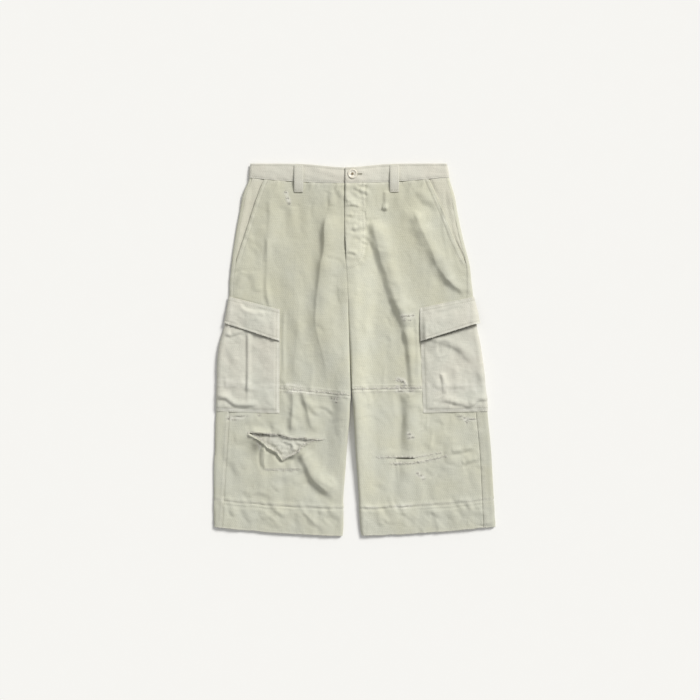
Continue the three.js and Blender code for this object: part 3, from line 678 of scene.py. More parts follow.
def under_cargo(side, x, y):
    """1 where a cargo pocket or flap lies on the leg, 0 elsewhere."""
    inside = smooth(side * (x - cargo_front(side, y)), -3, 2)
    low, high = cargo_line(side, "foot", x), cargo_line(side, "up", x)
    return inside * smooth(y, low - 3, low + 2) * (1 - smooth(y, high - 2, high + 3))


rip_lip = curved(RIP_LIP, 4)
rip_top = curved(RIP[:10], 4)
fly_seam = curved([(23, 352), (23, 300), (23.5, 243), (22, 204), (10, 181), (-16, 168)])


def torn(x, y):
    """The rip: its lower lip curls up, its upper edge lifts, and the patch behind shows as an outline."""
    away, share = beside(rip_lip, x, y)
    lip = near(away + 0.6, 1.9) * smooth(share, 0, 0.05) * smooth(1 - share, 0, 0.12)
    ragged = 0.72 + 0.35 * uneven(share * 19, 0 * x, 51) + 0.4 * uneven(share * 53, away / 2.5, 52)
    lip = lip * between(5.6, 4.2, smooth(share, 0.3, 0.6)) * ragged
    lip -= 2.6 * near(away + 6, 4) * smooth(share, 0.1, 0.25) * smooth(0.8 - share, 0, 0.2)
    above, reach = beside(rip_top, x, y)
    agape = 1.6 + 3.8 * near(reach - 0.12, 0.14) + 2.2 * near(reach - 0.5, 0.06)
    agape += 2.6 * near(reach - 0.85, 0.09)
    upper = agape * near(above - 1, 8) * smooth(above, -1, 1) * smooth(reach, 0, 0.1)
    sunk = -2.6 * spot(x, y, -205, -200, 13, 12) - 3.0 * spot(x, y, -140, -229, 9, 6)
    inside = smooth(x, PATCH_START - 1, PATCH_START + 1.5)
    inside = inside * (1 - smooth(x, PATCH_END - 14, PATCH_END + 3))
    inside = inside * smooth(y, PATCH_FOOT - 1.5, PATCH_FOOT + 1.5)
    inside = inside * (1 - smooth(y, PATCH_TOP, PATCH_TOP + 14))
    return lip + upper + sunk + 1.9 * inside


def leg_cloth(side, x, y, walk):
    """Height of the fronts, and of the strips of the backs that come round onto the front."""
    inset = side * (outer_edge[side](y) - x)
    inner = side * (x - inner_edge(side, y))
    calm = smooth(inset, 2, 20) * between(1, smooth(inner, 1.5, 14), leg_part(y))
    calm = calm * (1 - under_cargo(side, x, y)) * (1 - 0.75 * spot(x, y, 34, -144, 40, 30))
    up = calm * (read(leg_creases, x, y) + washed(x, y)) + 0.35 * (1 - calm) * uneven(x / 14, y / 26, 18)
    # waist seam
    below = waist_seam(x) - y
    up += gathers(below, x, 21, 1.1, 14) - 0.8 * near(below, 2.4) + gathers(below - 7, x, 38, 1.0, 8, 6)
    # knee seam, pressed open and stitched down on both sides
    knee = y - knee_seam(side, x)
    ridges = near(np.abs(knee + 0.9 * uneven(x / 9, 0 * x, 19)) - KNEE_ROW, 1.6)
    ridges = ridges * (0.75 + 0.5 * uneven(x / 5, y / 3, 20))
    raised = 0.3 * smooth(8.5 - np.abs(knee), 0, 2) + 0.7 * ridges - 0.25 * near(knee, 2)
    up += raised + gathers(knee, x, 22, 1.2, 15)
    # side seam below the pocket mouth, stitched down on its outer side
    out = seam_inset[side](y) - inset
    on_seam = 1 - smooth(y, MOUTH_END - 8, MOUTH_END + 4)
    felled = 0.9 * smooth(out, 0, 1) * smooth(9.5 - out, 0, 2)
    felled = felled - 0.7 * near(out - SIDE_ROWS[0], 1.2) - 0.7 * near(out - SIDE_ROWS[1], 1.2)
    covered = 1 - 0.75 * smooth(y, 60, 110)
    up += on_seam * (covered * (felled - 0.6 * near(out, 1.4)) + gathers(out, y, 23 + side, 0.8, 9, 9))
    # edge of the pocket mouth, folded in and stitched down
    edge = side * (mouth_edge[side](y) - x)
    on_mouth = smooth(y, MOUTH_END - 4, MOUTH_END + 8)
    doubled = 0.7 * smooth(11 - edge, 0, 2) - 0.5 * near(edge, 1.2)
    doubled = doubled - 0.5 * near(edge - MOUTH_ROWS[0], 1.2) - 0.6 * near(edge - MOUTH_ROWS[1], 1.4)
    doubled += -0.9 * near(edge, 1.6) if side == LEFT else 0.9 * near(edge - 1, 3)
    up += on_mouth * (smooth(edge + 1, 0, 1) * doubled + gathers(edge - 5, y, 25 + side, 0.7, 9, 11))
    # fly, where the left front lies over the right one, then the centre seam below it
    overlap = 0.3 * smooth(y, 186, 236) + 0.7 * smooth(y, 296, 318) + 0.9 * near(y - 220, 15)
    if side == LEFT:
        fly, _ = beside(fly_seam, x, y)
        in_fly = smooth(-fly, -1, 2) * smooth(y, 166, 172) * smooth(352 - y, 0, 10)
        crumpled = uneven(x / 12, y / 8, 27) + 0.7 * uneven(x / 6, y / 4.5, 28)
        up += in_fly * (0.4 + 0.45 * crumpled * smooth(y, 205, 250)) - 0.4 * near(fly, 1.9)
        up += overlap * (1.3 * near(inner - 2, 5))
    else:
        under_fly = 0.6 * near((y - 274) / 28, 1) - 1.1 * (1 - near((y - 274) / 30, 1))
        up += under_fly * overlap * near(inner, 3.5)
    up += (1 - leg_part(y)) * (gathers(inner, y, 29, 0.6, 9, 12) - 0.7 * near(inner, 1.5))
    # hem, doubled below its row of stitches
    hem = y - hem_line(side, x)
    roping = uneven((x - y) / 30, (x + 1.1 * y) / 8, 30) * smooth(HEM_TURN - hem, 0, 16) * smooth(hem, -4, 10)
    puckered = (0.9 + 0.5 * uneven(x / 21, 0 * x, 39)) * near(hem - HEM_TURN, 1.8)
    up += 0.7 * smooth(HEM_TURN - hem, -1, 1.5) - puckered + 0.3 * roping + near(hem - HEM_TURN - 6, 4)
    drawn = gathers(hem - HEM_TURN, x, 33, 1.0, 12)
    up += drawn - 0.8 * near(hem - HEM_TURN + 7, 1.8) * smooth(side * x, 90, 200)
    # inner edges of the legs, which stand up beside the gap
    if side == LEFT:
        standing = 11.5 * near((y + 138) / 105, 1) + 4 * near((y + 290) / 90, 1)
    else:
        standing = 10.5 * near((y + 118) / 92, 1)
    up += standing * smooth(inner, -0.5, 4) * (1 - smooth(inner, 7, 46))
    if side == RIGHT:
        up += torn(x, y)
    frayed_here = read(frayed_bands, x, y)
    up += frayed_here * (0.4 + 0.7 * uneven(x / 2.7, y / 2.3, 34))
    up += small_creases(x, y) * calm
    for dark, close in nick_spots(x, y, 1.1):
        up -= 0.7 * dark * close
    return np.where(up < 0, 3.2 * np.tanh(up / 3.2), up)


def back_cloth(side, x, y, walk):
    """Height of the backs: as the fronts where they come round, then flat or drawn in underneath."""
    inner = side * (x - inner_edge(side, y))
    hem = y - hem_line(side, x)
    flat = read(back_creases, x, y) + 0.5 * washed(-x, y - 60) - 0.15
    flat += gathers(inner, y, 35, 0.3) - 0.6 * near(inner, 1.4) - 0.7 * near(hem - HEM_TURN, 1.3)
    roping = 0.2 * uneven((x - y) / 24, (x + y) / 9, 37) * smooth(HEM_TURN - hem, 0, 16)
    flat += gathers(hem - HEM_TURN, x, 36, 0.5) + roping
    under = smooth(-walk, 0, EDGE_QUARTER)
    return between(leg_cloth(side, x, y, walk), np.minimum(flat, 0), under)


def facing_cloth(side, x, y, walk):
    """Height of a pocket facing: tucked under the edge of the mouth, and level with the front outside it."""
    edge = side * (x - mouth_edge[side](y))
    level = np.maximum(smooth(16 - walk, -6, 4), smooth(y, 318, 348))
    rise = (CLOTH + SEAM_GAP + 0.55) * (smooth(edge, 1, 6) if side == LEFT else smooth(edge, 3, 16)) * level
    soft = 0.5 * washed(x + 90, y) * smooth(edge, 2, 12)
    return rise - CLOTH - SEAM_GAP - 0.2 + soft + gathers(walk - 7, y, 61, 0.4)


def shield_cloth(side, x, y, walk):
    """Height of the fly shield, which lies under the left front."""
    return -CLOTH - 0.6 + 0.2 * uneven(x / 12, y / 20, 62)


def pocket_cloth(side, x, y, walk):
    """Height of a cargo pocket: sewn down at its front and foot, full between, and lower under its flap."""
    front = side * (x - cargo_front(side, y))
    foot = y - cargo_line(side, "foot", x)
    full = smooth(front, 0, POCKET_SHOULDER) * np.interp(walk, [-1.4, 1.4, 4.2, 7], [0, 0.5, 0.8, 1])
    full = full * smooth(foot, 0, POCKET_SHOULDER)
    flap_edge = cargo_line(side, "down", x)
    fall = (3.9 if side == LEFT else 2.4) * smooth(y, flap_edge - 7, flap_edge + 16)
    soft = read(pocket_creases, x, y) + 0.8 * washed(x - 40, 1.7 * y) + 0.8 * small_creases(-x, y - 170)
    soft = soft + 0.5 * uneven(x / 15, y / 15, 63) + 0.15 * uneven(x / 7, y / 6, 60)
    stitched = 0.5 * near(front - 2, 1.2) + 0.5 * near(foot - 2, 1.2)
    drawn = gathers(front, y, 64, 0.7, 9, 10) + gathers(foot, x, 65, 0.9, 10, 10)
    lifted = SEWN_ON + (POCKET_LIFT - SEWN_ON) * full - fall * full + full * soft
    return lifted - stitched * full + 0.6 * drawn


def flap_cloth(side, x, y, walk):
    """Height of a cargo flap: sewn down along its upper edge, and standing off the pocket below."""
    low, high = cargo_line(side, "down", x), cargo_line(side, "up", x)
    front = side * (x - cargo_front(side, y))
    share = (y - low) / (high - low)
    sewn = DOUBLE_CLOTH + SEAM_GAP
    open_more = 1.25 if side == LEFT else 1.0
    lift = np.interp(share, [0, 0.5, 0.76, 1], [11.2 * open_more, 8.8, 5.0, sewn]) - sewn
    wide = between(0.4, 1, smooth(front, 0, POCKET_SHOULDER))
    wide = wide * np.interp(walk, [1.4, 4.2, 7], [0.76, 0.92, 1])
    wide = wide * between(1, 1.1 if side == LEFT else 0.62, smooth(front, 50, 90))
    round_edges = 0.6 * near(front, 1.1) + 0.6 * near(y - low, 1.1) + 0.4 * near(high - y, 1.2)
    sewn_down = 0.35 * (near(front - 6, 1.2) + near(y - low - 6, 1.2) + near(high - y - 7, 1.4))
    soft = read(flap_creases, x, y) + 0.5 * washed(x + 30, y * 1.4) + 0.6 * small_creases(-x, y - 300)
    soft = soft + 0.45 * uneven(x / 12, y / 12, 66) + 0.25 * uneven(x / 6, y / 5, 70)
    drawn = gathers(front, y, 67, 0.5) + gathers(y - low, x, 68, 0.9) + gathers(high - y, x, 69, 0.6)
    return sewn + lift * wide - round_edges - sewn_down + soft * smooth(front, 0, 8) + drawn


def slot_at(x, y, half, start, end):
    """1 along the slot of the buttonhole, from one distance beyond the button's middle to another."""
    along = smooth(x, BUTTON_X + start, BUTTON_X + start + 3)
    return near(y - BUTTON_Y + 1, half) * along * (1 - smooth(x, BUTTON_X + end, BUTTON_X + end + 2))


def band_cloth(side, x, y, walk):
    """Height of the waistband: wrinkled between its rows of stitches, and pressed in round the button."""
    low, high = waist_seam(x), waist_top(x)
    stitched = near(y - low - BAND_ROWS[0], 1.1) + 0.7 * near(high - y - BAND_ROWS[1], 1.3)
    wrinkled = 0.35 * uneven(x / 9, y / 30, 71) + 0.7 * uneven(x / 26 + y / 20, y / 14, 72)
    up = 0.75 + 0.25 * uneven(x / 31, 0 * x, 76) - 0.3 * near(y - low, 0.9) - 0.6 * stitched
    up = up - 0.8 * smooth(y, high - 16, high) + wrinkled + gathers(y - low, x, 73, 0.6, 9)
    up = up - 0.9 * near(np.maximum(walk, 0), 9) * (side == RIGHT)
    pressed_in = near(np.hypot(x - BUTTON_X, y - BUTTON_Y), 14) * 0.5 + 0.8 * slot_at(x, y, 1.0, 0, 20)
    front_up = up - pressed_in * (side == LEFT) * smooth(walk, 0, 20)
    inner = side * (x - centre_line(y))
    front_up += 0.9 * near(inner - 2, 6) if side == LEFT else -1.0 * near(inner, 4)
    behind = np.minimum(up - 0.4, 0) * smooth(-walk, 0, 4) + up * smooth(walk + 4, 0, 4)
    return np.where(walk > 0, front_up, behind)


def patch_cloth(side, x, y, walk):
    """Height of the patch: flat inside the leg, and crumpled where the rip lets it come up."""
    shows = near((x + 150) / 58, 1) * near((y + 202) / 22, 1)
    crinkled = 1.5 * uneven(x / 11, y / 7, 74) + 0.9 * uneven(x / 5, y / 4, 75) + read(patch_creases, x, y)
    sunk = -3.4 * spot(x, y, -204, -177, 20, 6) - 2.4 * spot(x, y, -112, -188, 16, 5)
    return np.maximum(-CLOTH - 1.2 + shows * (0.6 + crinkled) + sunk, -4.4)


BUTTON_X, BUTTON_Y = ((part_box("button")[0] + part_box("button")[1]) / 2 / MM)[:2]


# ---- Making the walls of cloth


def steps(length, step, fine=(0.02, 0.35, 1.0, 2.0)):
    """Shares from 0 to 1 along a length, closer together at both ends, where the seams roll under."""
    fine = np.array(fine)
    count = max(2, round((length - 2 * fine[-1]) / step))
    middle = np.linspace(fine[-1], length - fine[-1], count + 1)
    return np.concatenate([fine[:-1], middle, length - fine[-2::-1]]) / length


def settle(side, first, last, low, high, rows, across):
    """Lays rows and columns of points between two side edges, given as walks, and two lines across the
    garment. Each row is its share of the way up, an offset in mm, and a drop below the face for cloth
    folded under."""
    share, offset, _ = (column[:, None] for column in rows.T)
    y = between(low(0.0), high(0.0), share) + offset + 0 * across
    for _ in range(6):
        walk = between(first(y), last(y), across)
        x = skin(side, y, walk)[..., 0]
        y = between(low(x), high(x), share) + offset
    return x, y, between(first(y), last(y), across)


def plain_rows(length, step):
    share = steps(length, step)
    return np.stack([share, 0 * share, 0 * share], -1)


def rolled(radius, count=7):
    """Offset and drop of the rows that go round a folded edge, from the face to the inside."""
    turn = np.linspace(0, math.pi, count)[1:-1]
    return radius * (1 - np.sin(turn)), radius * (1 - np.cos(turn))


def hem_rows(length, step):
    """The hem turned up inside the leg, then round its folded edge, then up the face."""
    inside = np.linspace(HEM_TURN + 2, HEM_ROLL, 12)
    offset, drop = rolled(HEM_ROLL)
    share = steps(length, step)[1:]
    turned = np.stack([0 * inside, inside, 0 * inside + 2 * HEM_ROLL], -1)
    edge = np.stack([0 * offset, offset, drop], -1)[::-1]
    face = np.stack([share, HEM_ROLL * (1 - share), 0 * share], -1)
    return np.vstack([turned, edge, face])


def band_rows(length, step):
    """Up the face of the waistband, round its folded top edge and down inside."""
    offset, drop = rolled(BAND_ROLL)
    share = steps(length, step)
    face = np.stack([share, -BAND_ROLL * share, 0 * share], -1)
    edge = np.stack([0 * offset + 1, -offset, drop], -1)
    inside = np.linspace(1, 0, 9)
    return np.vstack([face, edge, np.stack([inside, -BAND_ROLL * inside, 0 * inside + 2 * BAND_ROLL], -1)])


def inside_outline(outline, x, y):
    """Distance of points from a closed outline, negative within it, and the nearest points on it."""
    line = np.array([*outline, outline[0]], float)
    best = np.full(x.shape, np.inf)
    near_x, near_y, within = np.zeros(x.shape), np.zeros(x.shape), np.zeros(x.shape, bool)
    for (ax, ay), (bx, by) in zip(line, line[1:]):
        t = np.clip(((x - ax) * (bx - ax) + (y - ay) * (by - ay)) / ((bx - ax) ** 2 + (by - ay) ** 2), 0, 1)
        px, py = between(ax, bx, t), between(ay, by, t)
        away = np.hypot(x - px, y - py)
        closer = away < best
        best = np.where(closer, away, best)
        near_x, near_y = np.where(closer, px, near_x), np.where(closer, py, near_y)
        if ay != by:
            within ^= ((ay > y) != (by > y)) & (x < (bx - ax) * (y - ay) / (by - ay) + ax)
    return np.where(within, -best, best), near_x, near_y


def cut_out(outline, side, x, y, face):
    """Moves the points beside a torn opening onto its edge, and says which cells of cloth are left."""
    away, near_x, near_y = inside_outline(outline, x, y)
    moved = (np.abs(away) < 1.25) & face[:, None]
    x, y = np.where(moved, near_x, x), np.where(moved, near_y, y)
    gone = (away < -0.1) & ~moved & face[:, None]
    corner = lambda a: (a[:-1, :-1], a[:-1, 1:], a[1:, :-1], a[1:, 1:])
    middle = inside_outline(outline, sum(corner(x)) / 4, sum(corner(y)) / 4)[0] < 0
    lost = np.any(corner(gone), axis=0) | (np.all(corner(moved), axis=0) & middle)
    return x, y, walk_of(side, x, y), ~lost


def wall(points, thickness, kept=None):
    """A closed wall of cloth behind a face of points, which may have openings."""
    rows, columns = points.shape[:2]
    across = np.gradient(points, axis=1)
    along = np.gradient(points, axis=0)
    behind = points - unit(np.cross(across, along)) * thickness
    number = np.arange(rows * columns).reshape(rows, columns)
    quads = np.stack([number[:-1, :-1], number[:-1, 1:], number[1:, 1:], number[1:, :-1]], -1)
    quads = quads.reshape(-1, 4) if kept is None else quads[kept]
    edges = np.concatenate([quads[:, [k, (k + 1) % 4]] for k in range(4)])
    code, back = edges[:, 0] * number.size + edges[:, 1], edges[:, 1] * number.size + edges[:, 0]
    rim = edges[~np.isin(code, back)]
    far = number.size
    rims = np.stack([rim[:, 1], rim[:, 0], rim[:, 0] + far, rim[:, 1] + far], -1)
    faces = np.concatenate([quads, quads[:, ::-1] + far, rims])
    used, faces = np.unique(faces, return_inverse=True)
    both = np.concatenate([points.reshape(-1, 3), behind.reshape(-1, 3)])
    return both[used], faces.reshape(-1, 4).tolist(), used % far


def new_object(name, points, faces, material):
    mesh = bpy.data.meshes.new(name)
    mesh.from_pydata(points, [], faces)
    mesh.materials.append(material)
    made = bpy.data.objects.new(name, mesh)
    bpy.context.scene.collection.objects.link(made)
    return made


def add_mesh(name, points, faces, material, crisp=50):
    """A smooth mesh, with the edges that turn by more than `crisp` degrees kept sharp."""
    made = new_object(name, (points * MM).tolist(), faces, material)
    made.data.polygons.foreach_set("use_smooth", np.ones(len(made.data.polygons), bool))
    if crisp:
        made.data.set_sharp_from_angle(angle=math.radians(crisp))
    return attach(made, "root") or made


def fade_and_painted_light_at(x, y):
    """How much paler the cloth is, or darker where negative: washing's fade mixed with painted light and
    shade.
    """
    return sum(amount * spot(x, y, at_x, at_y, wide, tall) for at_x, at_y, wide, tall, amount in FADE_AND_PAINTED_LIGHT)


def colour_marks(piece, worn, holes, fade_and_painted_light):
    for name, values in (("worn", worn), ("holes", holes), ("fade_and_painted_light", fade_and_painted_light)):
        marks = piece.data.attributes.new(name, "FLOAT", "POINT")
        marks.data.foreach_set("value", values.astype(np.float32))


def wear_and_lip_highlight(side, x, y, walk):
    """Where the cloth is rubbed pale: along the seams, the mouths, the knee seam and the torn places, with a
    painted highlight along the rip's curled lower lip.
    """
    inset = side * (outer_edge[side](y) - x)
    knee = y - knee_seam(side, x)
    hem = y - hem_line(side, x)
    spotty = 0.6 + 0.4 * uneven(x / 7, y / 7, 81)
    on_both = 0.35 * near(waist_seam(x) - y, 6)
    on_both += 0.5 * near(hem - HEM_TURN - 3, 3) + 0.4 * near(hem, 3)
    worn = 0.55 * near(np.abs(knee) - 5, 3.5) + 0.3 * near(seam_inset[side](y) - inset - 4, 5)
    worn += 0.35 * near(side * (mouth_edge[side](y) - x) - 4, 6) * smooth(y, MOUTH_END - 4, MOUTH_END + 8)
    front, foot = side * (x - cargo_front(side, y)), y - cargo_line(side, "foot", x)
    low = y - cargo_line(side, "down", x)
    by_pocket = 0.5 * near(front - 3, 3) + 0.7 * near(foot - 4, 3.5) + 0.4 * near(low - 2, 3)
    worn += under_cargo(side, x, y) * by_pocket
    if side == RIGHT:
        away, share = beside(rip_lip, x, y)
        # pale frayed yarns along the rip's curled lower lip, with a painted highlight where it faces the light
        lip_wear_and_highlight = between(0.8, 0.4, smooth(share, 0.25, 0.5)) * near(away - 1.5, 2.5)
        worn += lip_wear_and_highlight + 0.7 * near(beside(rip_top, x, y)[0] - 1.5, 2.5)
    else:
        fly, _ = beside(fly_seam, x, y)
        worn += 0.25 * smooth(-fly, -1, 2) * smooth(y, 166, 176)
    for dark, close in nick_spots(x, y, wider=3):
        worn += 0.8 * dark * close
    worn += 0.9 * read(frayed_bands, x, y)
    return np.clip((on_both + worn * (walk > 0)) * spotty, 0, 1)


def sewn_lines(side, x, y, walk):
    """1 along the rows of stitches, where the cloth is drawn in and the needle holes are."""
    inset = side * (outer_edge[side](y) - x)
    edge, out = side * (mouth_edge[side](y) - x), seam_inset[side](y) - inset
    hem, knee = y - hem_line(side, x) - HEM_TURN, y - knee_seam(side, x)
    on_front = walk > 0
    in_pocket = under_cargo(side, x, y) * on_front
    front, foot = side * (x - cargo_front(side, y)), y - cargo_line(side, "foot", x)
    low, high = y - cargo_line(side, "down", x), cargo_line(side, "up", x) - y
    below_mouth, beside_mouth = 1 - smooth(y, 60, 110), smooth(y, MOUTH_END - 4, MOUTH_END + 8)
    on_leg = beside_mouth * (near(edge - MOUTH_ROWS[0], 1) + near(edge - MOUTH_ROWS[1], 1))
    on_leg = on_leg + below_mouth * (near(out - SIDE_ROWS[0], 1) + near(out - SIDE_ROWS[1], 1))
    on_leg = (on_leg + 0.4 * near(np.abs(knee) - KNEE_ROW, 1)) * on_front
    on_leg += 0.45 * near(hem - HEM_ROWS[0], 1) + 0.35 * near(hem - HEM_ROWS[1], 1)
    on_pocket = near(front - 7, 1) + 0.6 * near(foot - 8, 1) * smooth(front, 4, 9)
    on_pocket += near(low - 5.5, 1.2) + near(high - 7.5, 1.2) + 0.6 * near(high - 1.8, 1)
    on_band = near(y - waist_seam(x) - BAND_ROWS[0], 1) + 0.5 * near(waist_top(x) - y - BAND_ROWS[1], 1)
    on_band = on_band * (y > waist_seam(x))
    return np.clip(on_leg * (1 - in_pocket) * (y < waist_seam(x)) + on_pocket * in_pocket + on_band, 0, 1)


def nicks_at(x, y):
    """How dark the cloth is made: painted shade for the inside of the small worn holes, and dark dashes
    along the frayed bands.
    """
    dark = 0.15 * read(frayed_bands, x, y) * smooth(uneven(x / 3.1, y / 2.2, 82), 0.5, 0.9)
    for depth, close in nick_spots(x, y):
        dark = np.maximum(dark, depth * close)
    return dark


SHEETS = {}


def put_in_place(name, piece, marks, source, flat, area):
    """Colours a piece of cloth, puts it in place of its solid and notes what it was cut to."""
    colour_marks(piece, *(mark.ravel()[source] for mark in marks))
    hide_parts(name)
    SHEETS[name] = {"piece": piece, "flat": flat, "area": area}


def make_cloth(name, side, first, last, low, high, rows, across, height, material, thick=CLOTH, tears=()):
    """One cut piece: laid out, given its height, made into a wall, and put in place of its solid."""
    x, y, walk = settle(side, first, last, low, high, rows, across)
    area = np.abs(np.diff(walk, axis=1)[:-1] * np.diff(y, axis=0)[:, :-1]).sum() * MM * MM
    flat = (np.abs(walk[:, -1] - walk[:, 0]).max() * MM, np.abs(np.diff(y, axis=0)).sum(0).max() * MM)
    kept = np.ones((len(rows) - 1, len(across) - 1), bool)
    for outline in tears:
        x, y, walk, left = cut_out(outline, side, x, y, rows[:, 2] == 0)
        kept &= left
    points, _ = laid(side, y, walk, height(side, x, y, walk) - rows[:, 2:])
    verts, faces, source = wall(points, thick, kept)
    piece = add_mesh(f"cloth_{name}", verts, faces, material)
    if name == "rip_patch_right":
        # painted shadow on the patch under the rip's raised upper edge
        stitch_holes_and_painted_shade = 0.8 * near(beside(rip_top, x, y)[0] + 2, 3) * smooth(-130 - x, 0, 50)
    elif "loop" in name:
        stitch_holes_and_painted_shade = 0 * x
    else:
        # needle holes along the rows of stitches, with painted shade in the groove of each row
        stitch_holes_and_painted_shade = 0.22 * sewn_lines(side, x, y, walk) * (0.8 + 0.5 * uneven(x / 5, y / 5, 83))
    if "cargo_pocket" in name:
        # painted shadow of the flap on the pocket, just below the flap's lower edge
        painted_flap_shadow = near(y - cargo_line(side, "down", x) - 1, 5) * (0.75 if side == LEFT else 0.3)
        stitch_holes_and_painted_shade = np.maximum(stitch_holes_and_painted_shade, painted_flap_shadow)
    dark = np.maximum(nicks_at(x, y) * (walk > 0), stitch_holes_and_painted_shade)
    marks = (wear_and_lip_highlight(side, x, y, walk), dark, fade_and_painted_light_at(x, y) * (walk > 0))
    put_in_place(name, piece, marks, source, flat, min(area, flat[0] * flat[1]))


# ---- Stitches and frayed threads


def surface(side, height, x, y, above):
    walk = walk_of(side, x, y)
    return laid(side, y, walk, height(side, x, y, walk) + above)


def spaced(line, gap):
    """Points a set distance apart along a line, and the way that it runs there."""
    line = np.asarray(line, float)
    length = np.concatenate([[0], np.cumsum(np.linalg.norm(np.diff(line, axis=0), axis=1))])
    at = np.arange(gap / 2, length[-1], gap)
    points = np.stack([np.interp(at, length, line[:, k]) for k in range(line.shape[1])], -1)
    ahead = np.stack([np.interp(at + 0.5, length, line[:, k]) for k in range(line.shape[1])], -1)
    behind = np.stack([np.interp(at - 0.5, length, line[:, k]) for k in range(line.shape[1])], -1)
    return points, unit(ahead - behind)


STITCH = {"gap": 4.6, "length": 3.3, "width": 1.2, "height": 0.5}


def grains(centres, ways, outs):
    """A stitch at each centre: pointed at both ends, where the thread goes through the cloth."""
    half, wide, high = STITCH["length"] / 2, STITCH["width"] / 2, STITCH["height"]
    sideways = np.cross(outs, ways)
    corners = [
        centres - ways * half - outs * 0.25,
        centres - sideways * wide,
        centres + outs * high,
        centres + sideways * wide,
        centres + ways * half - outs * 0.25,
        centres - outs * 0.3,
    ]
    points = np.stack(corners, 1).reshape(-1, 3)
    one = np.array([[0, 2, 1], [0, 3, 2], [4, 1, 2], [4, 2, 3], [0, 1, 5], [0, 5, 3], [4, 5, 1], [4, 3, 5]])
    faces = (one[None] + 6 * np.arange(len(centres))[:, None, None]).reshape(-1, 3)
    return points, faces.tolist()


def stitched_rows(lines, side, height):
    """Where the stitches of each row go. A row is a line of points across the flat garment."""
    for line in lines:
        centres, ways = spaced(line, STITCH["gap"])
        x, y = centres.T
        middle, outs = surface(side, height, x, y, 0.05)
        ahead, _ = surface(side, height, x + ways[:, 0], y + ways[:, 1], 0.05)
        yield middle, unit(ahead - middle), outs


def sew(name, rows):
    """Rows of stitches on a piece of cloth, as one mesh."""
    points, faces = grains(*(np.concatenate(part) for part in zip(*rows)))
    sewn_pieces[name] = add_mesh(f"stitches_{name}", points, faces, topstitch_thread, crisp=80)


def threads(name, paths, radius, material):
    """Loose thread ends as thin three-sided tubes, joined in one mesh."""
    points, faces, start = [], [], 0
    for path in paths:
        way = unit(np.gradient(path, axis=0))
        side_way = unit(np.cross(way, [0.13, 0.21, 0.97]))
        up_way = np.cross(side_way, way)
        taper = np.linspace(1, 0.45, len(path))[:, None] * radius
        ring = [path + taper * (math.cos(a) * side_way + math.sin(a) * up_way) for a in (0.5, 2.6, 4.7)]
        points.append(np.stack(ring, 1).reshape(-1, 3))
        end = start + 3 * (len(path) - 1)
        for k in range(start, end, 3):
            for a, b in ((0, 1), (1, 2), (2, 0)):
                faces.append([k + a, k + b, k + 3 + b, k + 3 + a])
        faces += [[start, start + 2, start + 1], [end, end + 1, end + 2]]
        start = end + 3
    return add_mesh(name, np.concatenate(points), faces, material, crisp=None)


def frays(side, height, line, count, length, lean, seed, spread):
    """Thread ends that stand out of a torn edge. `lean` is the angle in degrees that they lie at."""
    chance = np.random.default_rng(seed)
    line = np.asarray(line, float)
    run = np.concatenate([[0], np.cumsum(np.hypot(*np.diff(line, axis=0).T))])
    made = []
    for _ in range(count):
        at = chance.uniform(0, run[-1])
        x, y = np.interp(at, run, line[:, 0]), np.interp(at, run, line[:, 1])
        angle = math.radians(lean) + chance.normal(0, spread)
        reach = length * chance.uniform(0.5, 1.3)
        bend = chance.normal(0, 0.9)
        t = np.linspace(0, 1, 5)
        turn = angle + bend * t
        path_x = x + np.cumsum(np.cos(turn)) * reach / 5 - math.cos(angle) * reach / 3
        path_y = y + np.cumsum(np.sin(turn)) * reach / 5 - math.sin(angle) * reach / 3
        above = 0.2 + 0.9 * chance.uniform(0.2, 1) * np.sin(t * 2.4)
        made.append(surface(side, height, path_x, path_y, above)[0])
    return made


# ---- Finishes


def linear(code):
    """The linear colour of an sRGB hex value."""
    parts = [int(code[i : i + 2], 16) / 255 for i in (1, 3, 5)]
    return (*(p / 12.92 if p <= 0.04045 else ((p + 0.055) / 1.055) ** 2.4 for p in parts), 1)


def node(tree, kind, settings, inputs):
    """Adds a node with its settings, and sets or links each of its inputs."""
    made = tree.nodes.new("ShaderNode" + kind)
    for name, value in settings.items():
        setattr(made, name, value)
    for name, value in inputs.items():
        if isinstance(value, bpy.types.NodeSocket):
            tree.links.new(value, made.inputs[name])
        else:
            made.inputs[name].default_value = value
    return made


def new_material(name):
    """An empty material, its node tree, and the place on the object in metres."""
    material = bpy.data.materials.new(name)
    material.use_nodes = True
    tree = material.node_tree
    tree.nodes.clear()
    return material, tree, node(tree, "TexCoord", {}, {}).outputs["Object"]


def finish(tree, colour, height, strength, distance, sheen_and_gloss):
    """Ends a material: its colour, the relief that the height gives, and how it takes the light."""
    bump = node(tree, "Bump", {}, {"Height": height, "Strength": strength, "Distance": distance})
    inputs = {"Base Color": colour, "Normal": bump.outputs[0], **sheen_and_gloss}
    shader = node(tree, "BsdfPrincipled", {}, inputs)
    node(tree, "OutputMaterial", {}, {"Surface": shader.outputs[0]})


# Scales at which a wave texture has one wave to the metre, straight and diagonal
STRAIGHT_WAVE, DIAGONAL_WAVE = 0.314, 0.444
OF_COLOUR = {"data_type": "RGBA"}
ADD_SCALED = {"operation": "MULTIPLY_ADD"}


